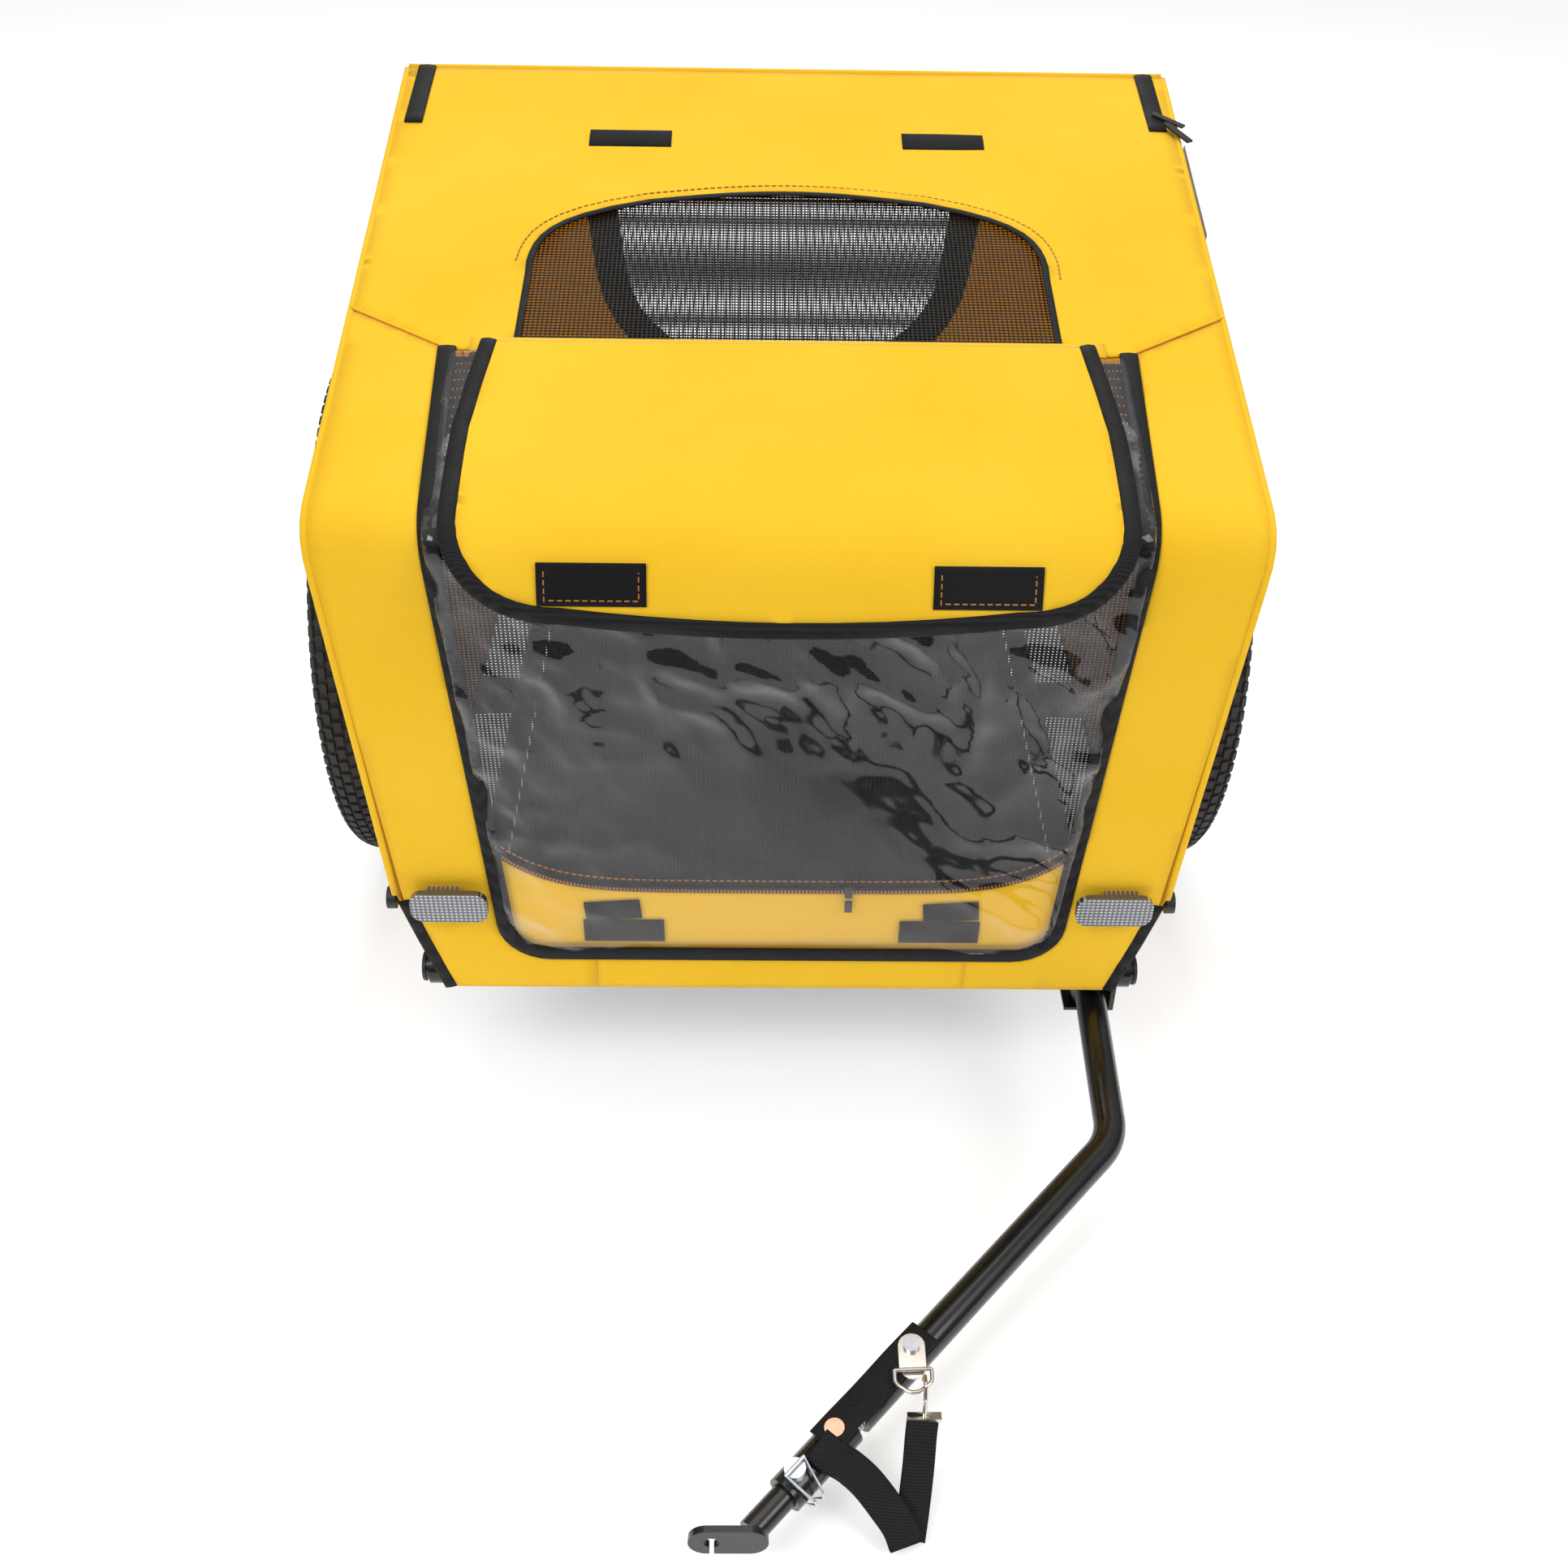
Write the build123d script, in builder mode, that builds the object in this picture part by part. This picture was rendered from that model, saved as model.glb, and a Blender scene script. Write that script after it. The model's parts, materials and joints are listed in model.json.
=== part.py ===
"""Child bicycle trailer: tube frame, folding hoops, fabric cabin, two wheels and a bent tow arm.

Millimetres. +Z is up with the floor at Z = 0, -Y is the towing direction, +X is the arm side.
The origin is on the floor, in the middle of the whole trailer's box.
"""
import os
from math import atan2, cos, hypot, radians, sin

from build123d import *

# ---- driving dimensions ----------------------------------------------------------------
BAR_Z = 145.0            # base tubes' axis above the floor
FRONT_Y = -112.0         # front cross bar's axis
REAR_Y = 473.0           # rear cross bar's axis
BAR_R = 11.0             # base tubes, 22 mm outside
HOOP_R = 9.5             # hoops, 19 mm outside
BAR_END_X = 292.0        # half length of the front cross bar
RAIL_X = 255.0           # side rails
FRONT_LEGS = (279.0, 272.0)   # half spacing of the front hoop's legs at foot and top
REAR_LEGS = (290.0, 300.0)    # the rear hoop is wider, so that the front one folds between its legs

KNEE = (-165.0, 578.0)   # outer skin's front upper edge, as (Y, Z)
TOP = (416.0, 720.0)     # outer skin's rear upper edge
FRONT_HEM = (-125.5, 126.0)
REAR_HEM = (487.0, 132.0)
KNEE_TUBE = (-148.0, 562.0)
TOP_TUBE = (401.0, 702.0)
REAR_PIVOT = (463.0, 185.0)
SIDE_FOOT_X, SIDE_FOOT_Z, SIDE_LEAN = 297.0, 150.0, 0.056
CLOTH = 2.0              # thickness of the fabric's solids

FLAP_HINGE = (33.0, 630.0)
WINDOW_HALF, WINDOW_TOP = 199.0, 405.6

AXLE_Y, AXLE_Z = 310.0, 248.0
WHEEL_R, TYRE_W, WHEEL_X = 248.0, 44.0, 385.0
AXLE_R = 6.0
RUNNING = 0.06           # radial clearance of a turning fit

ARM_R = 12.7             # tow arm, 25.4 mm outside
ARM_PIVOT = (262.0, -95.0, 112.5)
ARM_FALL = 0.16          # drop per millimetre of forward reach
ARM_BEND_Y, HITCH_X, HITCH_Y = -248.0, -20.0, -549.0

os.makedirs("parts", exist_ok=True)


def keep(part, name):
    """Labels a finished sub-part and writes its STEP file."""
    part.label = name
    export_step(part, f"parts/{name}.step")


def slope(a, b):
    """Plane of a skin panel that rises from (Y, Z) point a to b, its normal outward, and its length."""
    dy, dz = b[0] - a[0], b[1] - a[1]
    return Plane(origin=(0, a[0], a[1]), x_dir=(1, 0, 0), z_dir=(0, -dz, dy)), hypot(dy, dz)


def tube(points, radius, fillets=None, wall=0.0):
    """Round tube along straight runs, with a bend at each inner point where fillets is given."""
    with BuildPart() as made:
        with BuildLine() as route:
            if fillets:
                FilletPolyline(*points, radius=fillets)
            else:
                Polyline(*points)
        with BuildSketch(Plane(origin=route.line @ 0, z_dir=route.line % 0)):
            Circle(radius)
            if wall:
                Circle(radius - wall, mode=Mode.SUBTRACT)
        sweep()
    return made.part


def rod_x(radius, x0, x1, y, z, bore=0.0):
    """Cylinder along X from x0 to x1."""
    low, high = sorted((x0, x1))
    with BuildPart() as made:
        with BuildSketch(Plane(origin=(low, y, z), z_dir=(1, 0, 0))):
            Circle(radius)
            if bore:
                Circle(bore, mode=Mode.SUBTRACT)
        extrude(amount=high - low)
    return made.part


def block(x0, x1, y0, y1, z0, z1, round_off=0.0):
    """Box between two corners."""
    low_x, high_x = sorted((x0, x1))
    with BuildPart() as made:
        with Locations(((low_x + high_x) / 2, (y0 + y1) / 2, (z0 + z1) / 2)):
            Box(high_x - low_x, y1 - y0, z1 - z0)
        if round_off:
            fillet(made.edges(), round_off)
    return made.part


def sheet(plane, outline, holes=(), thickness=CLOTH, lift=0.0):
    """Flat sheet of fabric, mesh or film on a panel's plane."""
    with BuildPart() as made:
        with BuildSketch(plane.offset(lift)):
            add(outline)
            for hole in holes:
                add(hole, mode=Mode.SUBTRACT)
        extrude(amount=thickness)
    return made.part


def outline(points, corner_radii=()):
    """Closed face from points, some of whose corners are rounded: {index: radius}."""
    with BuildSketch() as made:
        with BuildLine():
            Polyline(*points, close=True)
        make_face()
        for index, radius in dict(corner_radii).items():
            nearest = made.vertices().sort_by_distance(Vector(*points[index]))[0]
            fillet(nearest, radius)
    return made.sketch


# ---- base frame ------------------------------------------------------------------------
keep(rod_x(BAR_R, -BAR_END_X, BAR_END_X, FRONT_Y, BAR_Z), "front_bar")
keep(rod_x(BAR_R, -BAR_END_X + 14, BAR_END_X - 14, REAR_Y, BAR_Z), "rear_bar")
for side, hand in ((1, "left"), (-1, "right")):
    rail = tube([(side * RAIL_X, FRONT_Y + BAR_R, BAR_Z), (side * RAIL_X, REAR_Y - BAR_R, BAR_Z)], BAR_R)
    keep(rail, f"side_rail_{hand}")

FLOOR_T = 4.0
keep(block(-242, 242, FRONT_Y + 14, REAR_Y - 14, BAR_Z - 5, BAR_Z - 5 + FLOOR_T), "floor_panel")

CAP_T, CAP_R = 3.0, 12.5
with BuildPart() as bar_caps:
    for end_x in (-BAR_END_X, BAR_END_X):
        with BuildSketch(Plane(origin=(end_x, FRONT_Y, BAR_Z), z_dir=(1 if end_x > 0 else -1, 0, 0))):
            Circle(CAP_R)
        extrude(amount=CAP_T)
        fillet(bar_caps.edges().group_by(Axis.X)[-1 if end_x > 0 else 0], 1.2)
keep(bar_caps.part, "bar_caps")

# ---- axle brackets, stub axles and wheels ----------------------------------------------
PLATE_X, PLATE_T, PLATE_HALF = 318.0, 4.0, 30.0
FOOT_Z = BAR_Z - BAR_R - PLATE_T
RECEIVER_END = 358.0
HUB_HALF = 22.0
RIM_OUT, RIM_IN, RIM_HALF = 207.0, 195.0, 14.0
FLANGE_R, BARREL_R = 26.0, 15.0
SPOKES, SPOKE_R = 20, 1.1


def axle_bracket(side):
    """Bent plate: a foot under the side rail and an upright that carries the stub axle."""
    with BuildPart() as made:
        with BuildSketch(Plane(origin=(side * PLATE_X, AXLE_Y, 0), x_dir=(0, 1, 0), z_dir=(side, 0, 0))):
            with BuildLine():
                top = AXLE_Z * side
                Line((-PLATE_HALF, FOOT_Z * side), (PLATE_HALF, FOOT_Z * side))
                Line((PLATE_HALF, FOOT_Z * side), (20, top))
                ThreePointArc((20, top), (0, top + 20 * side), (-20, top))
                Line((-20, top), (-PLATE_HALF, FOOT_Z * side))
            make_face()
            with Locations((0, top)):
                Circle(AXLE_R, mode=Mode.SUBTRACT)
        extrude(amount=PLATE_T)
        with Locations((side * (PLATE_X + RAIL_X - BAR_R) / 2, AXLE_Y, FOOT_Z + PLATE_T / 2)):
            Box(PLATE_X - RAIL_X + BAR_R, 2 * PLATE_HALF, PLATE_T)
    return made.part


def stub_axle(side):
    """Axle with the receiver collar on the inside and the retaining head outside."""
    with BuildPart() as made:
        for radius, start, end in ((AXLE_R, PLATE_X, 411), (11, PLATE_X + PLATE_T, RECEIVER_END), (9.5, 409, 417)):
            with BuildSketch(Plane(origin=(side * start, AXLE_Y, AXLE_Z), z_dir=(side, 0, 0))):
                Circle(radius)
            extrude(amount=end - start)
        with BuildSketch(Plane(origin=(side * 417, AXLE_Y, AXLE_Z), z_dir=(-side, 0, 0))):
            Circle(4.2)
        extrude(amount=6, mode=Mode.SUBTRACT)
    return made.part


def ring(profile_points, side, corner=0.0):
    """Solid of revolution about the axle, from (radius, offset along X) points."""
    centre = Plane(origin=(side * WHEEL_X, AXLE_Y, AXLE_Z), x_dir=(0, 0, 1), z_dir=(0, -1, 0))
    with BuildPart() as made:
        with BuildSketch(centre) as section:
            with BuildLine():
                Polyline(*profile_points, close=True)
            make_face()
            if corner:
                fillet(section.vertices(), corner)
        revolve(axis=Axis((side * WHEEL_X, AXLE_Y, AXLE_Z), (1, 0, 0)))
    return made.part


def spoke_set(side):
    """Crossed spokes from the two hub flanges to the rim."""
    made = []
    for index in range(SPOKES):
        flange = 1 if index % 2 else -1
        lead = 24 if index % 4 < 2 else -24
        at_rim = radians(index * 360 / SPOKES)
        at_hub = at_rim + radians(lead)
        inner, outer = FLANGE_R + 1.0, RIM_IN - 0.6
        a = Vector(flange * 16, inner * cos(at_hub), inner * sin(at_hub))
        b = Vector(flange * 3, outer * cos(at_rim), outer * sin(at_rim))
        centre = Vector(side * WHEEL_X, AXLE_Y, AXLE_Z)
        made.append(tube([centre + a, centre + b], SPOKE_R))
    return Compound(children=made)


for side, hand in ((1, "left"), (-1, "right")):
    keep(axle_bracket(side), f"axle_bracket_{hand}")
    keep(stub_axle(side), f"stub_axle_{hand}")
    half = TYRE_W / 2
    tyre_section = [(RIM_OUT, -12), (216, -18), (228, -half), (240, -16), (WHEEL_R, -6),
                    (WHEEL_R, 6), (240, 16), (228, half), (216, 18), (RIM_OUT, 12)]
    keep(ring(tyre_section, side), f"tyre_{hand}")
    rim_section = [(RIM_IN, -RIM_HALF + 3), (RIM_OUT - 0.2, -RIM_HALF), (RIM_OUT - 0.2, RIM_HALF),
                   (RIM_IN, RIM_HALF - 3)]
    keep(ring(rim_section, side), f"rim_{hand}")
    bore = AXLE_R + RUNNING
    hub_section = [(bore, -HUB_HALF), (12, -HUB_HALF), (14, -18), (FLANGE_R, -18), (FLANGE_R, -14),
                   (BARREL_R, -10), (BARREL_R, 10), (FLANGE_R, 14), (FLANGE_R, 18), (14, 18),
                   (12, HUB_HALF), (bore, HUB_HALF)]
    keep(ring(hub_section, side), f"hub_{hand}")
    keep(spoke_set(side), f"spokes_{hand}")
    keep(rod_x(4.0, side * 413.5, side * 420.5, AXLE_Y, AXLE_Z), f"axle_button_{hand}")

# ---- folding hoops ---------------------------------------------------------------------
HUB_OUT = 14.4
HOOP_BEND = 30.0
PIN_R = 6.0


def hoop(pivot, top, legs, bar_r, foot_gap, hub_width):
    """U-shaped tube with a hub at each foot that turns on a round pivot."""
    foot_x, top_x = legs
    dy, dz = top[0] - pivot[0], top[1] - pivot[1]
    length = hypot(dy, dz)
    start = (pivot[0] + dy / length * foot_gap, pivot[1] + dz / length * foot_gap)
    points = [(-foot_x, *start), (-top_x, *top), (top_x, *top), (foot_x, *start)]
    with BuildPart() as made:
        add(tube(points, HOOP_R, fillets=[HOOP_BEND, HOOP_BEND]))
        for side in (-1, 1):
            add(rod_x(HUB_OUT, side * (foot_x - hub_width / 2), side * (foot_x + hub_width / 2), *pivot))
        for side in (-1, 1):
            add(rod_x(bar_r + RUNNING, side * 250, side * 320, *pivot), mode=Mode.SUBTRACT)
    return made.part


keep(hoop((FRONT_Y, BAR_Z), KNEE_TUBE, FRONT_LEGS, BAR_R, 13.0, 20.0), "front_hoop")
keep(hoop(REAR_PIVOT, TOP_TUBE, REAR_LEGS, PIN_R, 10.0, 14.0), "rear_hoop")

with BuildPart() as rear_lugs:
    for side in (-1, 1):
        add(block(side * 262, side * 267, REAR_PIVOT[0] - 11, REAR_PIVOT[0] + 9, BAR_Z + BAR_R, REAR_PIVOT[1] + 11))
        add(rod_x(PIN_R, side * 267, side * 297.5, *REAR_PIVOT))
keep(rear_lugs.part, "rear_hoop_lugs")

KNOB_AT = 80.0
leg_dy, leg_dz = KNEE_TUBE[0] - FRONT_Y, KNEE_TUBE[1] - BAR_Z
leg_length = hypot(leg_dy, leg_dz)
knob_y, knob_z = FRONT_Y + leg_dy * KNOB_AT / leg_length, BAR_Z + leg_dz * KNOB_AT / leg_length
for side, hand in ((1, "left"), (-1, "right")):
    face = FRONT_LEGS[0] + (FRONT_LEGS[1] - FRONT_LEGS[0]) * KNOB_AT / leg_length + HOOP_R
    with BuildPart() as knob:
        for radius, start, end in ((4, face + 0.6, face + 20), (9, face + 20, face + 27)):
            with BuildSketch(Plane(origin=(side * start, knob_y, knob_z), z_dir=(side, 0, 0))):
                Circle(radius)
            extrude(amount=end - start)
    keep(knob.part, f"hoop_lock_{hand}")

# ---- fabric cabin ----------------------------------------------------------------------
front_plane, front_len = slope(FRONT_HEM, KNEE)
roof_plane, roof_len = slope(KNEE, TOP)
rear_plane, rear_len = slope(TOP, REAR_HEM)
roof_slope = atan2(TOP[1] - KNEE[1], TOP[0] - KNEE[0])


def along_roof(y):
    """Distance up the roof from its front edge to a place over Y."""
    return (y - KNEE[0]) / cos(roof_slope)


FRONT_FOOT, FRONT_TOP, REAR_HALF = 294.0, 318.0, 322.0
DOOR_FOOT_S, DOOR_FOOT, DOOR_TOP = 35.0, 218.0, 246.0
front_edge = outline([(-FRONT_FOOT, 110), (-268, 0), (268, 0), (FRONT_FOOT, 110), (FRONT_TOP, front_len - 1),
                      (-FRONT_TOP, front_len - 1)])
door_hole = outline([(-DOOR_FOOT, DOOR_FOOT_S), (DOOR_FOOT, DOOR_FOOT_S), (DOOR_TOP, front_len + 5),
                     (-DOOR_TOP, front_len + 5)], {0: 45, 1: 45})
seam_in, seam_out = along_roof(26), along_roof(72)
with BuildPart() as front_panel:
    add(sheet(front_plane, front_edge, [door_hole]))
    for side in (-1, 1):
        hood = outline([(side * DOOR_TOP, 1), (side * FRONT_TOP, 1), (side * 319, seam_out - 1),
                        (side * DOOR_TOP, seam_in - 1)])
        add(sheet(roof_plane, hood))
keep(front_panel.part, "front_panel")

with BuildSketch() as window:
    with BuildLine():
        low = along_roof(30)
        Line((-WINDOW_HALF, low), (WINDOW_HALF, low))
        Line((WINDOW_HALF, low), (WINDOW_HALF - 1, 290))
        ThreePointArc((WINDOW_HALF - 1, 290), (176, 355), (110, 392))
        ThreePointArc((110, 392), (0, WINDOW_TOP), (-110, 392))
        ThreePointArc((-110, 392), (-176, 355), (-WINDOW_HALF + 1, 290))
        Line((-WINDOW_HALF + 1, 290), (-WINDOW_HALF, low))
    make_face()
roof_edge = outline([(-DOOR_TOP, seam_in), (DOOR_TOP, seam_in), (319, seam_out), (REAR_HALF, roof_len - 1),
                     (-REAR_HALF, roof_len - 1), (-319, seam_out)])
keep(sheet(roof_plane, roof_edge, [window.sketch]), "roof_panel")
with BuildSketch() as window_mesh:
    add(window.sketch)
    offset(amount=8)
keep(sheet(roof_plane, window_mesh.sketch, thickness=0.8, lift=-1.2), "roof_window_mesh")

rear_edge = outline([(-REAR_HALF, 1), (REAR_HALF, 1), (296, rear_len - 16), (275, rear_len), (-275, rear_len),
                     (-296, rear_len - 16)])
REAR_DOOR_TOP, REAR_DOOR_FOOT = 172.0, 150.0
rear_hole = outline([(-REAR_DOOR_TOP, 40), (REAR_DOOR_TOP, 40), (REAR_DOOR_FOOT, 290), (-REAR_DOOR_FOOT, 290)],
                    {0: 12, 1: 12, 2: 45, 3: 45})
keep(sheet(rear_plane, rear_edge, [rear_hole]), "rear_panel")
with BuildSketch() as rear_mesh:
    add(rear_hole)
    offset(amount=8)
keep(sheet(rear_plane, rear_mesh.sketch, thickness=0.8, lift=-1.2), "rear_door_mesh")

lean = atan2(SIDE_LEAN, 1)
for side, hand in ((1, "left"), (-1, "right")):
    wall = Plane(origin=(side * SIDE_FOOT_X, 0, SIDE_FOOT_Z), x_dir=(0, 1, 0), z_dir=(side * cos(lean), 0, -sin(lean)))
    corners = [(-129, 120), (-92, 16), (REAR_HEM[0] - 4, 16), (TOP[0] + 1, TOP[1] - SIDE_FOOT_Z),
               (KNEE[0], KNEE[1] - SIDE_FOOT_Z)]
    keep(sheet(wall, outline([(y, side * z) for y, z in corners])), f"side_panel_{hand}")

INSET = 9.0
door_mesh_front = outline([(-DOOR_FOOT - INSET, 26), (DOOR_FOOT + INSET, 26), (DOOR_TOP + INSET, front_len - 4),
                           (-DOOR_TOP - INSET, front_len - 4)], {0: 50, 1: 50})
with BuildPart() as front_door_mesh:
    add(sheet(front_plane, door_mesh_front, thickness=0.8, lift=-1.2))
    add(sheet(roof_plane, outline([(-250, 3), (250, 3), (250, along_roof(18)), (-250, along_roof(18))]),
              thickness=0.8, lift=-1.2))
keep(front_door_mesh.part, "front_door_mesh")

cover_front = outline([(-DOOR_FOOT, DOOR_FOOT_S), (DOOR_FOOT, DOOR_FOOT_S), (DOOR_TOP, front_len),
                       (-DOOR_TOP, front_len)], {0: 45, 1: 45})
with BuildPart() as rain_cover:
    add(sheet(front_plane, cover_front, thickness=1.2, lift=CLOTH + 0.5))
    add(sheet(roof_plane, outline([(-DOOR_TOP, 0), (DOOR_TOP, 0), (DOOR_TOP, along_roof(18)),
                                   (-DOOR_TOP, along_roof(18))]), thickness=1.2, lift=CLOTH + 0.5))
keep(rain_cover.part, "rain_cover")

HEM_HALF = 232.0
keep(sheet(roof_plane, outline([(-HEM_HALF, along_roof(21)), (HEM_HALF, along_roof(21)),
                                (HEM_HALF, along_roof(45)), (-HEM_HALF, along_roof(45))]),
           thickness=1.6, lift=CLOTH + 0.4), "flap_hem")

# sun flap: a visor along the roof's front slope that turns down past the front edge
FLAP_T = 2.4
FLAP_HALF = 231.0
with BuildPart() as sun_flap:
    with BuildSketch(Plane.YZ.offset(-FLAP_HALF)):
        with BuildLine():
            inner = [(FLAP_HINGE[0] - 13, FLAP_HINGE[1] - 2), (-150, 589), (-182, 577), (-194, 545), (-201, 500)]
            skin = [(y - 0.4, z + FLAP_T) if z > 580 else (y - FLAP_T, z + 0.4) for y, z in inner]
            Polyline(*inner, *reversed(skin), close=True)
        make_face()
    extrude(amount=2 * FLAP_HALF)
    corner_edges = sun_flap.edges().filter_by(lambda e: e.length < 6 and e.center().Z < 510 and abs(e.center().X) > 220)
    fillet(corner_edges, 55)
keep(sun_flap.part, "sun_flap")

patch_plane, patch_len = slope((-203.4, 500.4), (-196.4, 545.4))
with BuildPart() as flap_patches:
    for x in (-130, 130):
        with BuildSketch(patch_plane.offset(0.3)):
            with Locations((x, patch_len / 2)):
                Rectangle(70, 28)
        extrude(amount=1.6)
keep(flap_patches.part, "flap_patches")

with BuildPart() as roof_hooks:
    for x in (-130, 130):
        with BuildSketch(roof_plane.offset(CLOTH + 0.2)):
            with Locations((x, along_roof(306))):
                Rectangle(68, 20)
        extrude(amount=1.6)
keep(roof_hooks.part, "roof_hooks")

with BuildPart() as reflectors:
    with BuildSketch(front_plane.offset(CLOTH + 8)) as lens:
        with Locations((-260, 116), (260, 116)):
            Rectangle(60, 30)
        fillet(lens.vertices(), 10)
    extrude(amount=5)
    with BuildSketch(front_plane.offset(CLOTH + 3.5)):
        with Locations((-264, 120), (264, 120)):
            Rectangle(26, 22)
    extrude(amount=4.5)
keep(reflectors.part, "front_reflectors")

# ---- seat and harness ------------------------------------------------------------------
SEAT_HALF = 205.0
keep(block(-SEAT_HALF, SEAT_HALF, 120, 370, 205, 245, 12), "seat_cushion")
with BuildPart() as backrest:
    with BuildSketch(Plane.YZ.offset(-SEAT_HALF)):
        with BuildLine():
            Polyline((374, 215), (414, 215), (440, 430), (404, 430), close=True)
        make_face()
    extrude(amount=2 * SEAT_HALF)
    fillet(backrest.edges(), 10)
keep(backrest.part, "backrest")
with BuildPart() as harness:
    for x in (-140, -60, 60, 140):
        with BuildSketch(Plane.YZ.offset(x - 12.5)):
            with BuildLine():
                Polyline((352, 248), (367, 250), (402, 428), (400, 429), (365, 252), (352, 250), close=True)
            make_face()
        extrude(amount=25)
keep(harness.part, "harness_straps")
with BuildPart() as harness_buckles:
    for x in (-100, 100):
        add(block(x - 24, x + 24, 300, 346, 246, 258, 3))
keep(harness_buckles.part, "harness_buckles")

# ---- tow arm ---------------------------------------------------------------------------


def arm_z(y):
    """Height of the arm's axis over a place along Y."""
    return ARM_PIVOT[2] - (ARM_PIVOT[1] - y) * ARM_FALL


px, py, pz = ARM_PIVOT
bend = Vector(px, ARM_BEND_Y, arm_z(ARM_BEND_Y))
hitch_end = Vector(HITCH_X, HITCH_Y, arm_z(HITCH_Y))
reach = (hitch_end - bend).length
aim = (hitch_end - bend).normalized()
side_way = aim.cross(Vector(0, 0, 1)).normalized()
up_way = side_way.cross(aim).normalized()


def at(distance, across=0.0, above=0.0):
    """Point on the arm's slanting run: distance from its bend, then across and above the axis."""
    return bend + aim * distance + side_way * across + up_way * above


def collar(start, end, radius, bore=0.0):
    """Cylinder along the arm's slanting run."""
    with BuildPart() as made:
        with BuildSketch(Plane(origin=at(start), z_dir=aim)):
            Circle(radius)
            if bore:
                Circle(bore, mode=Mode.SUBTRACT)
        extrude(amount=end - start)
    return made.part


def upright(distance, radius, low, high):
    """Cylinder across the arm's slanting run, between two heights over its axis."""
    with BuildPart() as made:
        with BuildSketch(Plane(origin=at(distance, above=low), z_dir=up_way)):
            Circle(radius)
        extrude(amount=high - low)
    return made.part


TUBE_END, SLEEVE_START, SLEEVE_END = reach - 106, reach - 97, reach - 32
RIVET_AT, PIN_AT, RING_AT = reach - 84, reach - 44, 255.0
RING_OFF = -6.0          # the ring's tab is bolted beside the tube's centre line
SLEEVE_R, INSERT_R = 13.6, 9.5
PIVOT_HOLE, PIVOT_R = 5.06, 5.0

with BuildPart() as arm_tube:
    add(tube([Vector(px, py - 6, pz), Vector(px, py - 22, pz - 2), bend, at(TUBE_END)], ARM_R, fillets=[40, 48]))
    with BuildSketch(Plane(origin=(px, py, pz - 13))):
        Circle(14)
    extrude(amount=26)
    with BuildSketch(Plane(origin=(px, py, pz - 20))):
        Circle(PIVOT_HOLE)
    extrude(amount=40, mode=Mode.SUBTRACT)
keep(arm_tube.part, "arm_tube")

with BuildPart() as arm_bracket:
    add(block(px - 20, px + 22, py - 12, py + 24, pz + 13.5, pz + 16))
    add(block(px - 20, px + 22, py - 12, py + 24, pz - 19, pz - 16))
    add(block(px + 18, px + 22, py - 12, py + 24, pz - 16, pz + 13.5))
    add(block(px - 16, px + 4, py - 2, py + 24, pz + 16, BAR_Z - BAR_R))
    with BuildSketch(Plane(origin=(px, py, pz - 20))):
        Circle(PIVOT_HOLE)
    extrude(amount=37, mode=Mode.SUBTRACT)
keep(arm_bracket.part, "arm_bracket")
with BuildPart() as pivot_bolt:
    with BuildSketch(Plane(origin=(px, py, pz - 24.1))):
        RegularPolygon(8, 6)
    extrude(amount=5)
    with BuildSketch(Plane(origin=(px, py, pz - 19.1))):
        Circle(PIVOT_R)
    extrude(amount=35.6)
keep(pivot_bolt.part, "arm_pivot_bolt")

SPRING_R, SPRING_WIRE = 7.0, 1.3
with BuildPart() as coupler_spring:
    add(collar(TUBE_END + 0.2, SLEEVE_START - 0.2, SPRING_R + SPRING_WIRE, SPRING_R - SPRING_WIRE))
keep(coupler_spring.part, "coupler_spring")

PLATE_LONG, PLATE_TALL, PLATE_THICK, HITCH_HOLE_R = 54.0, 26.0, 5.0, 5.25
PLATE_X0 = HITCH_X - 16.0
insert_end = reach + 2
with BuildPart() as hitch_insert:
    add(collar(SLEEVE_START + 8, insert_end, INSERT_R))
    plate_z = arm_z(HITCH_Y)
    with BuildSketch(Plane(origin=(PLATE_X0, HITCH_Y - 4, plate_z), x_dir=(1, 0, 0), z_dir=(0, -1, 0))):
        SlotOverall(PLATE_LONG, PLATE_TALL)
        with Locations((-11, 0)):
            Circle(HITCH_HOLE_R, mode=Mode.SUBTRACT)
        with Locations((-11, -9)):
            Rectangle(3.0, 10, mode=Mode.SUBTRACT)
    extrude(amount=PLATE_THICK)
    add(upright(PIN_AT, 4.06, -30, 30), mode=Mode.SUBTRACT)
keep(hitch_insert.part, "hitch_insert")

with BuildPart() as sleeve_bored:
    add(collar(SLEEVE_START, SLEEVE_END, SLEEVE_R, INSERT_R + 0.3))
    add(upright(PIN_AT, 4.06, -30, 30), mode=Mode.SUBTRACT)
    add(upright(RIVET_AT, 3.0, 0, 30), mode=Mode.SUBTRACT)
keep(sleeve_bored.part, "coupler_sleeve")

with BuildPart() as clevis_pin:
    add(upright(PIN_AT, 4.0, -19, SLEEVE_R + 1))
    add(upright(PIN_AT, 7.5, SLEEVE_R + 1, SLEEVE_R + 7))
keep(clevis_pin.part, "clevis_pin")

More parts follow.
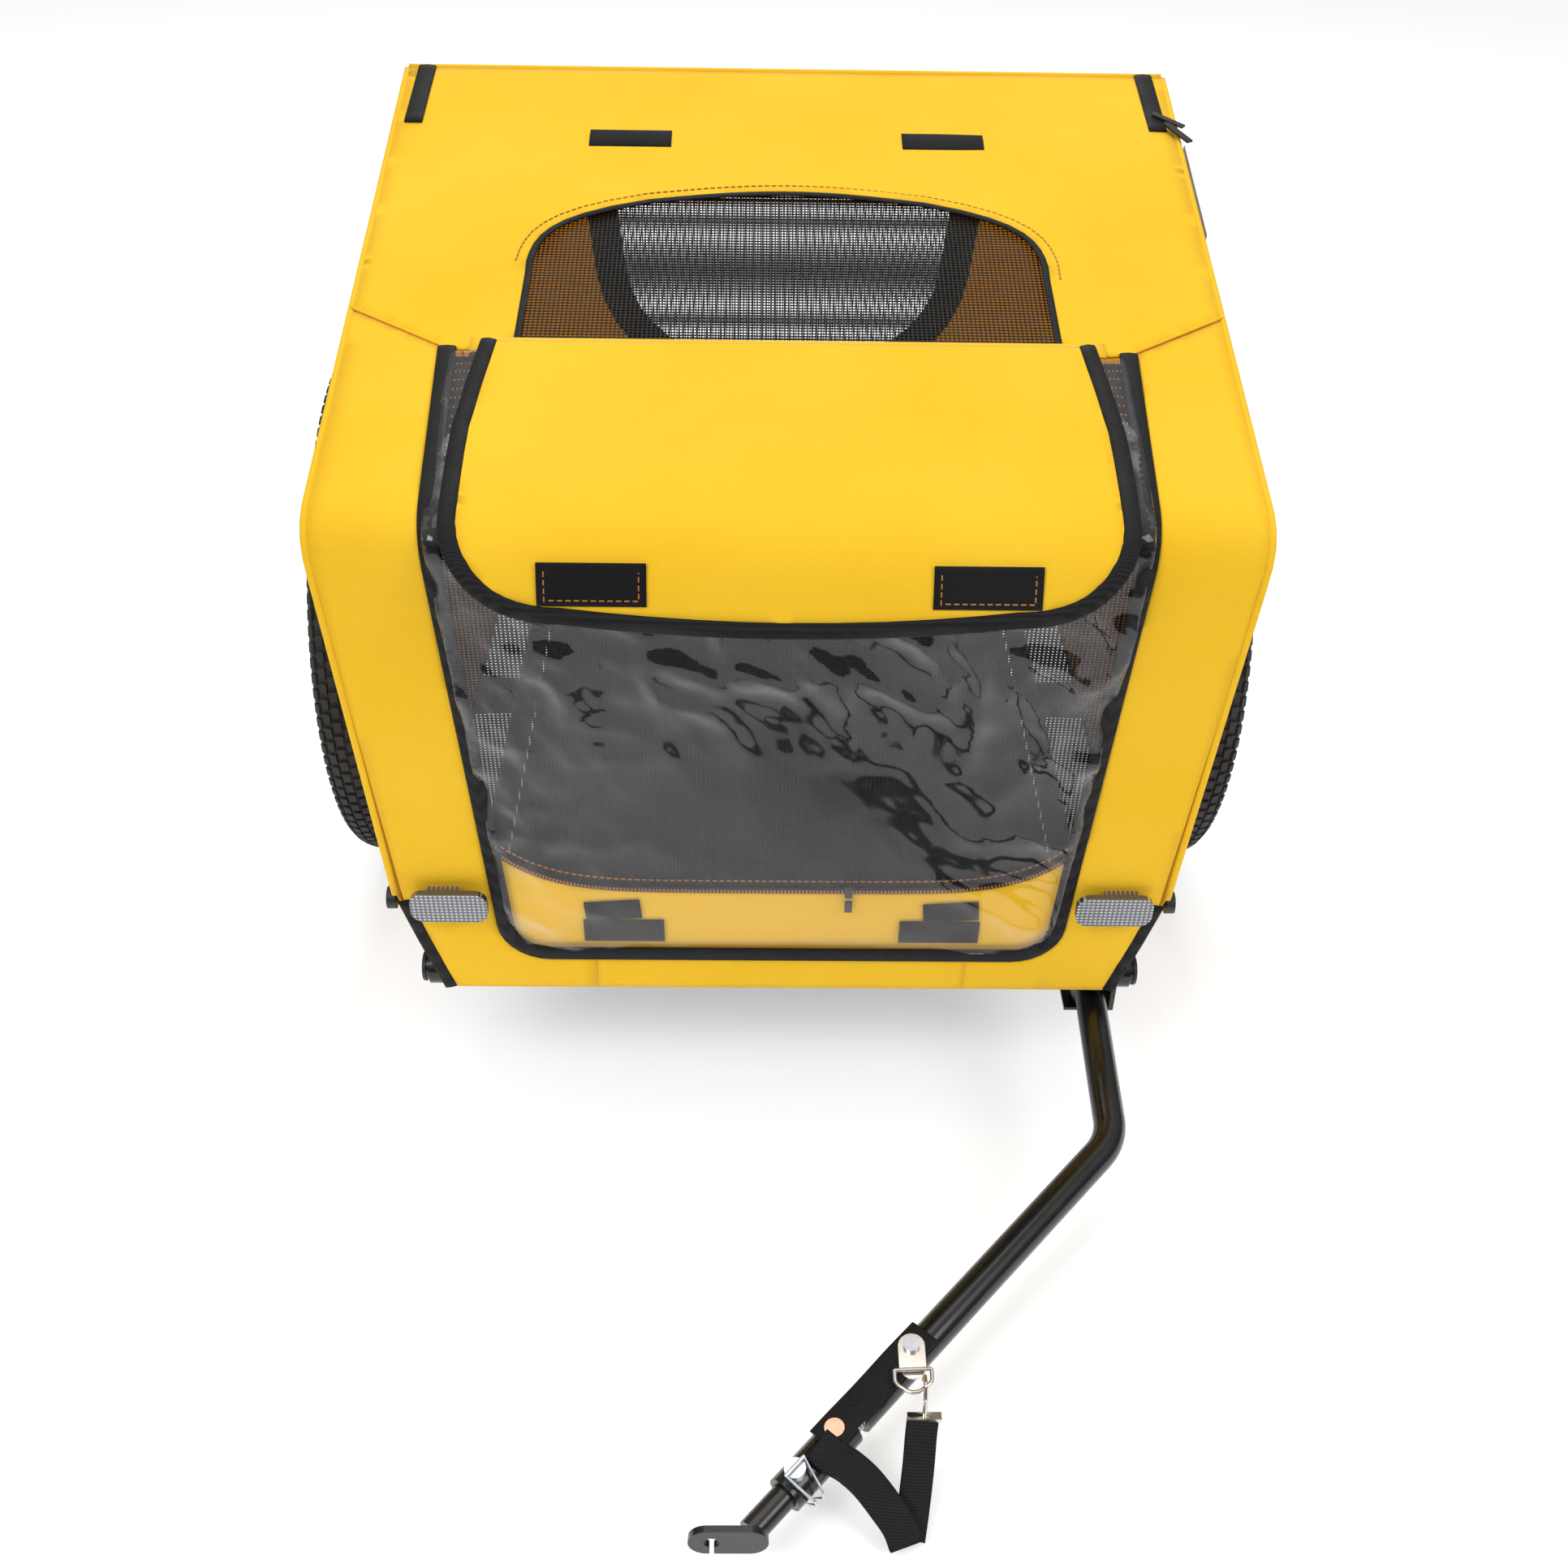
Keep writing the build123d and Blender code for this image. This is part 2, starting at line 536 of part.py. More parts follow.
BAIL_WIRE = 1.0
with BuildPart() as pin_bail:
    high, low, out = SLEEVE_R + 9.2, -21.2, -24.0
    legs = []
    for way in (-1, 1):
        legs.append([at(PIN_AT + way * 9, 0, high), at(PIN_AT + way * 3.5, out, 4), at(PIN_AT + way * 2, -4, low)])
    add(tube([legs[0][0], legs[0][1], legs[0][2], legs[1][2], legs[1][1], legs[1][0]], BAIL_WIRE,
             fillets=[6, 1.6, 1.6, 6]))
    add(tube([at(PIN_AT - 9.5, 0, high), at(PIN_AT + 9.5, 0, high)], BAIL_WIRE + 0.2))
keep(pin_bail.part, "pin_bail")

STRAP_W, STRAP_T = 23.0, 1.8

with BuildPart() as strap_run:
    with BuildSketch(Plane(origin=at(RING_AT - 12, 0, SLEEVE_R + 0.4), x_dir=aim, z_dir=up_way)):
        with Locations(((RIVET_AT + 10 - RING_AT + 12) / 2, 0)):
            Rectangle(RIVET_AT + 10 - RING_AT + 12, STRAP_W)
    extrude(amount=STRAP_T)
    for place in (RING_AT, RIVET_AT):
        add(upright(place, 3.1, 0, 30), mode=Mode.SUBTRACT)
keep(strap_run.part, "strap_run")

LOOP = [at(RIVET_AT + 17, -17, 21), Vector(68, -509, 27), Vector(84, -540, 11), Vector(92, -514, 24),
        Vector(99, -480, 50)]
with BuildPart() as strap_loop:
    for a, b in zip(LOOP, LOOP[1:]):
        run_way = (b - a).normalized()
        wide = Vector(0, 0, 1).cross(run_way).normalized()
        with BuildSketch(Plane(origin=a + run_way * 1.5, x_dir=wide, z_dir=run_way)):
            Rectangle(18, STRAP_T)
        extrude(amount=(b - a).length - 3)
keep(strap_loop.part, "strap_loop")

with BuildPart() as strap_rivet:
    add(upright(RIVET_AT, 2.9, INSERT_R + 0.4, SLEEVE_R + STRAP_T + 0.5))
    add(upright(RIVET_AT, 7.0, SLEEVE_R + STRAP_T + 0.5, SLEEVE_R + STRAP_T + 2.5))
keep(strap_rivet.part, "strap_rivet")

base_up = SLEEVE_R + STRAP_T + 0.6
ring_x = Vector(1, 0, 0)
ring_spot = at(RING_AT, RING_OFF, base_up)
ring_plane = Plane(origin=ring_spot, x_dir=ring_x - up_way * up_way.dot(ring_x), z_dir=up_way)
with BuildPart() as ring_bracket:
    with BuildSketch(ring_plane) as tab:
        SlotCenterToCenter(16, 19, rotation=90)
        with Locations((0, 8)):
            Circle(3.1, mode=Mode.SUBTRACT)
    extrude(amount=1.5)
keep(ring_bracket.part, "ring_bracket")

with BuildPart() as ring_bolt:
    bolt_plane = Plane(origin=ring_plane.from_local_coords(Vector(0, 8, 0)), x_dir=ring_plane.x_dir, z_dir=up_way)
    with BuildSketch(bolt_plane.offset(1.6)):
        Circle(6.0)
    extrude(amount=3)
keep(ring_bolt.part, "ring_bolt")

RING_WIRE = 1.5
with BuildPart() as d_ring:
    across, down = 13.0, 20.0
    d_local = [(-across, -12), (-across, -12 - down * 0.5), (0, -12 - down), (across, -12 - down * 0.5), (across, -12)]
    d_points = [ring_plane.from_local_coords(Vector(u, v, 3.8)) for u, v in d_local]
    add(tube(d_points, RING_WIRE, fillets=[7, 10, 7]))
    add(tube([d_points[0], d_points[-1]], RING_WIRE))
keep(d_ring.part, "d_ring")

with BuildPart() as snap_hook:
    body = [(99, -475, 58), (99, -474, 76), (99, -468, 85), (99, -459.5, 83), (99, -457.5, 75)]
    add(tube([Vector(*p) for p in body], 1.6, fillets=[4, 4, 4]))
    add(block(87, 111, -478, -472, 55, 59))
keep(snap_hook.part, "snap_hook")

if __name__ == "__main__":
    print("arm reach", round(reach, 1), "aim", [round(v, 4) for v in aim], "bend", bend)
    print("at tube end", at(TUBE_END), "pin", at(PIN_AT), "rivet", at(RIVET_AT), "ring", at(RING_AT))
    print("up", up_way, "side", side_way, "plate z", round(arm_z(HITCH_Y), 2))
    print("knob", round(knob_y, 1), round(knob_z, 1))
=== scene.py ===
"""Looks of the child bicycle trailer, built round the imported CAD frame. Metres, same frame as the CAD."""
import json
import math

import bmesh
import bpy
import numpy as np
from mathutils import Matrix, Vector, noise
from mathutils.geometry import delaunay_2d_cdt


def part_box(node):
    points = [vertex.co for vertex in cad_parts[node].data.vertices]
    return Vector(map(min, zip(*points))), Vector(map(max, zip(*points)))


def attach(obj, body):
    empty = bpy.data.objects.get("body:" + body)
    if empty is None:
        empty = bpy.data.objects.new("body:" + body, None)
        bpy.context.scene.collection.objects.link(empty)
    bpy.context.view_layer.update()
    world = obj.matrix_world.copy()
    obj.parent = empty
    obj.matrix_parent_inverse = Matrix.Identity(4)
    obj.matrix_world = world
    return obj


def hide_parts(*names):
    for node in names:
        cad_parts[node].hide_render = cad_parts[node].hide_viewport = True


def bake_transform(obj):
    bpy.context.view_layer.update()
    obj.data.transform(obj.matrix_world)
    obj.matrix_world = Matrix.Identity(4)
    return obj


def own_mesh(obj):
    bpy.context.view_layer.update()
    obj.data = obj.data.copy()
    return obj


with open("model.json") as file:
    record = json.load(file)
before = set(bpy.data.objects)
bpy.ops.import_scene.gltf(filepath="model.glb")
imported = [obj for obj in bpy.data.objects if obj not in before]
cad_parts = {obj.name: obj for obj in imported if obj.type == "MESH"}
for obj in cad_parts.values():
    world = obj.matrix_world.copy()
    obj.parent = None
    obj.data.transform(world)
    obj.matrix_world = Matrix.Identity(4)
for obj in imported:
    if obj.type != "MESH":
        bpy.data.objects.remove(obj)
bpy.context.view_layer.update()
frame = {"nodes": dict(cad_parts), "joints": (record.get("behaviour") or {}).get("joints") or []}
nodes = frame["nodes"]
joints = {j["name"]: j for j in frame["joints"]}

# ---- places taken from the frame ----
side_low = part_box("side_panel_left")[0]
front_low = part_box("front_panel")[0]
rear_low, rear_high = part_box("rear_panel")
window_low, window_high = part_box("roof_window_mesh")
flap_low, flap_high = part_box("sun_flap")
KNEE = np.array([side_low.y, 0.578])
TOP = np.array([rear_low.y, rear_high.z - 0.0005])
FRONT_HEM = np.array([-0.1255, front_low.z])
REAR_HEM = np.array([0.487, rear_low.z])
CABIN = Vector((0, 0.15, 0.40))  # a point in the middle of the cabin
SIDES = ((1, "left"), (-1, "right"))

# ---- materials ----


class Shader:
    """A node material under construction."""

    def __init__(self, name, colour, roughness, metallic=0.0, **sockets):
        self.material = bpy.data.materials.new(name)
        self.material.use_nodes = True
        self.tree = self.material.node_tree
        self.bsdf = self.tree.nodes["Principled BSDF"]
        self.bsdf.inputs["Base Color"].default_value = (*colour, 1)
        self.bsdf.inputs["Roughness"].default_value = roughness
        self.bsdf.inputs["Metallic"].default_value = metallic
        for socket, value in sockets.items():
            self.bsdf.inputs[socket.replace("_", " ")].default_value = value
        self.place = self.node("ShaderNodeTexCoord").outputs["Object"]

    def node(self, kind, **settings):
        made = self.tree.nodes.new(kind)
        for key, value in settings.items():
            setattr(made, key, value)
        return made

    def link(self, source, target):
        self.tree.links.new(source, target)
        return target

    def math(self, operation, a, b=None, c=None):
        made = self.node("ShaderNodeMath", operation=operation)
        for index, value in enumerate((a, b, c)):
            if value is None:
                continue
            if isinstance(value, (int, float)):
                made.inputs[index].default_value = value
            else:
                self.link(value, made.inputs[index])
        return made.outputs[0]

    def noise(self, scale, detail=3.0, rough=0.5):
        made = self.node("ShaderNodeTexNoise")
        made.inputs["Scale"].default_value = scale
        made.inputs["Detail"].default_value = detail
        made.inputs["Roughness"].default_value = rough
        self.link(self.place, made.inputs["Vector"])
        return made.outputs["Fac"]

    def axis(self, name):
        split = self.node("ShaderNodeSeparateXYZ")
        self.link(self.place, split.inputs[0])
        return split.outputs[name]

    def ridges(self, along, pitch):
        """Rounded ridges of that pitch across one axis, from 0 to 1."""
        turns = self.math("MULTIPLY", self.axis(along), 2 * math.pi / pitch)
        return self.math("MULTIPLY_ADD", self.math("SINE", turns), 0.5, 0.5)

    def tint(self, factor, dark, light, low=0.3, high=0.7):
        """Colours the surface between two colours by a factor."""
        ramp = self.node("ShaderNodeValToRGB")
        ramp.color_ramp.elements[0].position, ramp.color_ramp.elements[1].position = low, high
        ramp.color_ramp.elements[0].color = (*dark, 1)
        ramp.color_ramp.elements[1].color = (*light, 1)
        self.link(factor, ramp.inputs["Fac"])
        self.link(ramp.outputs["Color"], self.bsdf.inputs["Base Color"])
        return self

    def rough(self, factor, low, high):
        spread = self.node("ShaderNodeMapRange")
        spread.inputs["To Min"].default_value, spread.inputs["To Max"].default_value = low, high
        self.link(factor, spread.inputs["Value"])
        self.link(spread.outputs[0], self.bsdf.inputs["Roughness"])
        return self

    def bump(self, height, distance, strength=1.0):
        made = self.node("ShaderNodeBump")
        made.inputs["Distance"].default_value = distance
        made.inputs["Strength"].default_value = strength
        self.link(height, made.inputs["Height"])
        self.link(made.outputs[0], self.bsdf.inputs["Normal"])
        return self

    def see_through(self, alpha):
        """Lets the background through where alpha is 0."""
        self.link(alpha, self.bsdf.inputs["Alpha"])
        return self


def woven(name, dark, light, weave=0.0011, sheen=0.06, upright="Z"):
    """Plain-weave fabric: crossed yarn ridges, slow colour drift and a fine fuzz."""
    made = Shader(name, light, 0.8, Sheen_Weight=sheen, Sheen_Roughness=0.4, Specular_IOR_Level=0.2)
    across = made.math("ADD", made.ridges("X", weave), made.ridges("Y", weave))
    cloth = made.math("MULTIPLY", made.math("ADD", across, made.ridges(upright, weave)), 0.33)
    fuzz = made.noise(900, 2)
    made.tint(made.math("MULTIPLY_ADD", fuzz, 0.35, made.math("MULTIPLY", made.noise(7, 4), 0.65)), dark, light)
    made.rough(fuzz, 0.72, 0.92)
    made.bump(made.math("ADD", cloth, made.math("MULTIPLY", fuzz, 0.7)), 0.0002, 0.5)
    return made.material


def webbing(name, dark, light, pitch=0.0016, along="Y"):
    """Ribbed tape: one set of ridges across it."""
    made = Shader(name, light, 0.7, Specular_IOR_Level=0.25)
    ribs = made.ridges(along, pitch)
    # The ribs also set the colour: lighter crests and darker grooves are painted highlight and painted shade.
    made.tint(made.math("MULTIPLY_ADD", ribs, 0.5, made.math("MULTIPLY", made.noise(300, 2), 0.5)), dark, light)
    made.rough(made.noise(60), 0.55, 0.8)
    made.bump(ribs, 0.0003, 0.6)
    return made.material


def netting(name, colour, pitch_x, pitch_v, along, thread=0.42):
    """Open mesh: two crossed sets of threads with clear holes between them."""
    made = Shader(name, colour, 0.6, Specular_IOR_Level=0.15)
    threads = []
    for axis, pitch in (("X", pitch_x), (along, pitch_v)):
        share = made.math("FRACT", made.math("MULTIPLY", made.axis(axis), 1 / pitch))
        threads.append(made.math("LESS_THAN", share, thread))
    made.tint(made.noise(40, 2), tuple(c * 0.6 for c in colour), colour)
    made.rough(made.noise(200), 0.45, 0.65)
    return made.see_through(made.math("MAXIMUM", *threads)).material


def metal(name, dark, light, rough_low, rough_high, metallic=1.0, **sockets):
    """Metal or gloss paint with a cloudy polish and fine scratches."""
    made = Shader(name, light, rough_low, metallic, **sockets)
    made.tint(made.noise(25, 4), dark, light)
    made.rough(made.noise(60, 5), rough_low, rough_high)
    made.bump(made.noise(350, 2), 0.00005, 0.25)
    return made.material


def film(name):
    """Clear flexible PVC: a mirror-like skin, thin face on and denser at grazing angles, with a faint haze."""
    made = Shader(name, (0.93, 0.94, 0.97), 0.05, 1.0)
    weight = made.node("ShaderNodeLayerWeight")
    weight.inputs["Blend"].default_value = 0.5
    grazing = made.math("POWER", weight.outputs["Facing"], 3.0)
    skin = made.math("MULTIPLY_ADD", made.noise(5, 3), 0.02, made.math("MULTIPLY_ADD", grazing, 0.5, 0.012))
    made.rough(made.noise(30), 0.03, 0.10)
    made.bump(made.noise(16, 2), 0.0015, 0.35)
    return made.see_through(made.math("MINIMUM", skin, 1.0)).material


def plastic(name, dark, light, low=0.35, high=0.55):
    """Moulded plastic, rubber or thread with a fine grain."""
    made = Shader(name, light, low)
    made.tint(made.noise(18, 3), dark, light)
    made.rough(made.noise(90, 4), low, high)
    made.bump(made.noise(1200, 2), 0.00008, 0.3)
    return made.material


def prismatic(name):
    """Clear reflector lens over a grid of small corner cubes."""
    made = Shader(name, (0.72, 0.74, 0.78), 0.12, 0.55, Coat_Weight=1.0, Coat_Roughness=0.04)
    cells = made.math("MULTIPLY", made.ridges("X", 0.0036), made.ridges("Z", 0.0032))
    # The cells also set the colour, dark between the cubes and light at their middles: painted shade and painted
    # highlight of the cube facets.
    made.tint(cells, (0.10, 0.105, 0.12), (0.75, 0.76, 0.8), 0.1, 0.85)
    made.bump(cells, 0.0009, 0.8)
    return made.material


YELLOW = woven("yellow_fabric", (0.90, 0.515, 0.012), (0.95, 0.585, 0.03))
# The cloth's inner faces get a darker copy of the yellow: painted shade inside the cabin, with a painted glow.
YELLOW_INSIDE_PAINTED_SHADE_AND_GLOW = woven("yellow_inside_painted_shade_and_glow", (0.72, 0.36, 0.015), (0.80, 0.42, 0.02))
lit_through = YELLOW_INSIDE_PAINTED_SHADE_AND_GLOW.node_tree.nodes["Principled BSDF"]       # painted glow that stands in for daylight coming through the cloth
lit_through.inputs["Emission Color"].default_value = (0.80, 0.36, 0.015, 1)
lit_through.inputs["Emission Strength"].default_value = 0.30
BLACK_TAPE = webbing("black_binding", (0.004, 0.004, 0.0045), (0.013, 0.013, 0.015))
BLACK_HOOK = woven("hook_strip", (0.003, 0.003, 0.004), (0.012, 0.012, 0.013), weave=0.0014, sheen=0.08)
STITCH_RUST = plastic("rust_thread", (0.32, 0.10, 0.02), (0.5, 0.2, 0.04), 0.6, 0.8)
MESH_FRONT = netting("front_mesh", (0.010, 0.010, 0.0115), 0.0030, 0.0024, "Z", 0.64)
MESH_ROOF = netting("roof_mesh", (0.016, 0.015, 0.014), 0.0034, 0.0034, "Y", 0.3)
MESH_REAR = netting("rear_mesh", (0.02, 0.02, 0.022), 0.0027, 0.0027, "Z", 0.34)
FILM = film("clear_film")
GLOSS_BLACK = metal("gloss_black_steel", (0.004, 0.004, 0.005), (0.009, 0.009, 0.010), 0.20, 0.34, 0.0,
                    Specular_IOR_Level=0.4, Coat_Weight=0.3, Coat_Roughness=0.08)
PLASTIC = plastic("black_plastic", (0.010, 0.010, 0.011), (0.022, 0.022, 0.024))
FLOOR_CLOTH = woven("floor_fabric", (0.018, 0.018, 0.02), (0.04, 0.04, 0.045))
SEAT_CLOTH = woven("seat_fabric", (0.035, 0.036, 0.04), (0.07, 0.072, 0.08), weave=0.0016)
RUBBER = plastic("tyre_rubber", (0.010, 0.010, 0.010), (0.026, 0.026, 0.026), 0.65, 0.85)
ALUMINIUM = metal("aluminium", (0.55, 0.56, 0.58), (0.78, 0.79, 0.81), 0.25, 0.42)
ZINC = metal("zinc_steel", (0.45, 0.48, 0.52), (0.75, 0.78, 0.82), 0.2, 0.4)
NICKEL = metal("nickel", (0.55, 0.50, 0.44), (0.80, 0.75, 0.68), 0.1, 0.25)
COPPER = metal("copper", (0.55, 0.26, 0.16), (0.82, 0.48, 0.34), 0.15, 0.3)
PRISM = prismatic("clear_reflector")
GREY_STRIP = woven("reflective_strip", (0.22, 0.26, 0.33), (0.35, 0.40, 0.48))

# ---- mesh helpers ----


def piece(name, vertices, faces, material, smooth=True):
    """A mesh object from points and faces."""
    mesh = bpy.data.meshes.new(name)
    mesh.from_pydata([tuple(v) for v in vertices], [], [tuple(f) for f in faces])
    mesh.validate()
    made = bpy.data.objects.new(name, mesh)
    bpy.context.scene.collection.objects.link(made)
    mesh.materials.append(material)
    if smooth:
        mesh.shade_smooth()
    return made


def modify(made, kind, **settings):
    """Adds a modifier and applies it at once."""
    modifier = made.modifiers.new(kind.lower(), kind)
    for key, value in settings.items():
        setattr(modifier, key, value)
    graph = bpy.context.evaluated_depsgraph_get()
    mesh = bpy.data.meshes.new_from_object(made.evaluated_get(graph))
    made.modifiers.clear()
    made.data = mesh
    return made


def tidy_normals(made, weld=0.0):
    """Drops loose points, joins those closer than weld, and turns every face outwards."""
    bm = bmesh.new()
    bm.from_mesh(made.data)
    bmesh.ops.delete(bm, geom=[v for v in bm.verts if not v.link_faces], context="VERTS")
    if weld:
        bmesh.ops.remove_doubles(bm, verts=bm.verts, dist=weld)
    bmesh.ops.recalc_face_normals(bm, faces=bm.faces)
    bm.to_mesh(made.data)
    bm.free()
    return made


def join(name, parts):
    """One piece from several."""
    target = bmesh.new()
    for part in parts:
        target.from_mesh(part.data)
    mesh = bpy.data.meshes.new(name)
    target.to_mesh(mesh)
    target.free()
    mesh.materials.append(parts[0].data.materials[0])
    mesh.shade_smooth()
    for part in parts:
        bpy.data.objects.remove(part)
    made = bpy.data.objects.new(name, mesh)
    bpy.context.scene.collection.objects.link(made)
    return made


def inside(points, polygon):
    """Which points lie inside a closed polygon."""
    x, y = points[:, 0], points[:, 1]
    found = np.zeros(len(points), bool)
    for (x0, y0), (x1, y1) in zip(polygon, np.roll(polygon, -1, axis=0)):
        crosses = (y0 > y) != (y1 > y)
        if y0 != y1:
            found ^= crosses & (x < (x1 - x0) * (y - y0) / (y1 - y0) + x0)
    return found


def dense(points, step, closed=True):
    """The same outline with points no further apart than step."""
    points = np.asarray(points, float)
    ends = np.roll(points, -1, axis=0) if closed else points[1:]
    found = []
    for a, b in zip(points, ends):
        count = max(1, math.ceil(np.linalg.norm(b - a) / step))
        found += [a + (b - a) * k / count for k in range(count)]
    if not closed:
        found.append(points[-1])
    return np.array(found)


def rounded(points, radii, steps=8):
    """Closed outline with some of its corners rounded: {index: radius}."""
    points = np.asarray(points, float)
    found = []
    for k, corner in enumerate(points):
        if k not in radii:
            found.append(corner)
            continue
        before, after = points[k - 1] - corner, points[(k + 1) % len(points)] - corner
        before, after = before / np.linalg.norm(before), after / np.linalg.norm(after)
        half = math.acos(np.clip(before @ after, -1, 1)) / 2
        reach = radii[k] / math.tan(half)
        start, end = corner + before * reach, corner + after * reach
        centre = corner + (before + after) / np.linalg.norm(before + after) * radii[k] / math.sin(half)
        a, b = start - centre, end - centre
        sweep = math.acos(np.clip(a @ b / radii[k] ** 2, -1, 1))
        for t in np.linspace(0, 1, steps):
            found.append(centre + (a * math.sin((1 - t) * sweep) + b * math.sin(t * sweep)) / math.sin(sweep))
    return np.array(found)


def headings(path, closed=False):
    """Unit directions along a path."""
    ways = np.roll(path, -1, 0) - np.roll(path, 1, 0)
    if not closed:
        ways[0], ways[-1] = path[1] - path[0], path[-1] - path[-2]
    return ways / np.linalg.norm(ways, axis=1)[:, None]


def swept(rows, count, closed=False):
    """Faces of a section of count points drawn through rows, with capped ends unless closed."""
    faces = []
    for k in range(rows if closed else rows - 1):
        for j in range(count):
            step, after = (j + 1) % count, (k + 1) % rows * count
            faces.append((k * count + j, k * count + step, after + step, after + j))
    if not closed:
        faces += [tuple(range(count)), tuple((rows - 1) * count + j for j in reversed(range(count)))]
    return faces


def grown(loop, by):
    """A closed outline moved outward by a distance."""
    loop = np.asarray(loop, float)
    ways = headings(loop, closed=True)
    out = np.stack([ways[:, 1], -ways[:, 0]], 1)
    centre = loop.mean(0)
    out *= np.sign(np.sum(out * (loop - centre), axis=1))[:, None]
    return loop + out * by


def curve(points, count):
    """A smooth line through a few points."""
    points = np.asarray(points, float)
    padded = np.vstack([2 * points[0] - points[1], points, 2 * points[-1] - points[-2]])
    found = []
    for t in np.linspace(0, len(points) - 1 - 1e-6, count):
        k, f = int(t), t - int(t)
        a, b, c, d = padded[k:k + 4]
        found.append(0.5 * (2 * b + (c - a) * f + (2 * a - 5 * b + 4 * c - d) * f ** 2
                            + (3 * b - a - 3 * c + d) * f ** 3))
    return np.array(found)


class Profile:
    """A line in the YZ plane that a cloth follows, smoothed at its corners. s is the distance along it."""

    def __init__(self, points, soften=0.02, lift=0.0):
        grain = 0.001
        line = dense(points, grain, closed=False)
        count = max(1, int(soften / grain))
        if count > 1:
            kernel, marks = np.ones(count) / count, np.arange(1, count + 1)[:, None]
            before = line[:1] + (line[:1] - line[1:2]) * marks[::-1]
            after = line[-1:] + (line[-1:] - line[-2:-1]) * marks
            padded = np.vstack([before, line, after])
            smooth = np.stack([np.convolve(padded[:, k], kernel, "same") for k in (0, 1)], 1)
            line = smooth[count:-count]
        ways = np.gradient(line, axis=0)
        ways /= np.linalg.norm(ways, axis=1)[:, None]
        self.normal = np.stack([-ways[:, 1], ways[:, 0]], 1)
        self.line = line + self.normal * lift
        self.length = (len(line) - 1) * grain
        self.s = np.arange(len(line)) * grain

    def at(self, u, s, height=0.0):
        """Points at a sideways place, a distance along the line and a height over it."""
        y, z = (np.interp(s, self.s, self.line[:, k]) for k in (0, 1))
        ny, nz = (np.interp(s, self.s, self.normal[:, k]) for k in (0, 1))
        return np.stack([u + 0 * y, y + ny * height, z + nz * height], -1)


def ripple(points, scale, seed):
    """Smooth random heights from -1 to 1 at flat points."""
    return np.array([noise.noise(Vector((p[0] * scale, p[1] * scale, seed))) for p in points])


def cloth(name, profile, outline, material, holes=(), step=0.012, bulge=0.0, wave=0.0, scale=9.0, seed=0.0,
          thickness=0.0012, lift=0.0):
    """A sewn panel: fine triangles inside an outline, laid on a profile, puffed and rippled, with real thickness."""
    edges, points = [], []
    for loop in (outline, *holes):
        ring = dense(loop, step)
        start = len(points)
        points += [Vector(p) for p in ring]
        edges += [(start + k, start + (k + 1) % len(ring)) for k in range(len(ring))]
    low, high = np.min(outline, 0), np.max(outline, 0)
    grid = np.array([(x, y) for x in np.arange(low[0] + step / 2, high[0], step)
                     for y in np.arange(low[1] + step / 2, high[1], step)])
    rims = np.array([tuple(p) for p in points])
    clear = np.min(np.linalg.norm(grid[:, None] - rims[None], axis=2), axis=1) > step * 0.5
    points += [Vector(p) for p in grid[clear]]
    flat, _, triangles, *_ = delaunay_2d_cdt(points, edges, [], 0, 1e-7)
    flat = np.array([tuple(p) for p in flat])
    middles = np.array([flat[list(t)].mean(0) for t in triangles])
    wanted = inside(middles, np.asarray(outline, float))
    for hole in holes:
        wanted &= ~inside(middles, np.asarray(hole, float))
    faces = [t for t, keep in zip(triangles, wanted) if keep]
    away = np.min(np.linalg.norm(flat[:, None] - rims[None], axis=2), axis=1)
    puff = 1 - np.exp(-away / 0.05)
    height = lift + bulge * puff + wave * ripple(flat, scale, seed) * (0.25 + 0.75 * puff)
    made = tidy_normals(piece(name, profile.at(flat[:, 0], flat[:, 1], height), faces, material))
    if thickness:
        modify(made, "SOLIDIFY", thickness=thickness, offset=0.0)
        made.data.shade_smooth()
    if material == YELLOW:
        # Faces that look into the cabin take the darker inner yellow: painted shade, with a painted glow.
        made.data.materials.append(YELLOW_INSIDE_PAINTED_SHADE_AND_GLOW)
        for face in made.data.polygons:
            face.material_index = int(face.normal.dot(face.center - CABIN) < 0)
    made["flat_area"] = float(sum(abs(np.cross(flat[b] - flat[a], flat[c] - flat[a])) / 2 for a, b, c in faces))
    made["flat_size"] = [float(high[0] - low[0]), float(high[1] - low[1])]
    return made


def ribbon(name, path, normals, width, thickness, material, closed=False, crown=0.4):
    """A flat tape along a path, slightly crowned, with its width square to the path and its face along normals."""
    path, normals = np.asarray(path, float), np.asarray(normals, float)
    ways = headings(path, closed)
    normals = normals - ways * np.sum(normals * ways, axis=1)[:, None]
    normals /= np.linalg.norm(normals, axis=1)[:, None]
    across = np.cross(ways, normals)
    section = [(-0.5, 0), (-0.5, 0.5), (-0.4, 1 - crown * 0.5), (0, 1), (0.4, 1 - crown * 0.5), (0.5, 0.5), (0.5, 0)]
    vertices = [p + a * (u * width) + n * (h * thickness)
                for p, a, n in zip(path, across, normals) for u, h in section]
    return tidy_normals(piece(name, vertices, swept(len(path), len(section), closed), material))


def tape_on(name, profile, flat_path, width, material, lift=0.001, thickness=0.0016, closed=False):
    """A tape laid on a profile along flat (u, s) points."""
    flat_path = dense(flat_path, 0.008, closed)
    low = profile.at(flat_path[:, 0], flat_path[:, 1], lift)
    high = profile.at(flat_path[:, 0], flat_path[:, 1], lift + 0.01)
    return ribbon(name, low, high - low, width, thickness, material, closed)


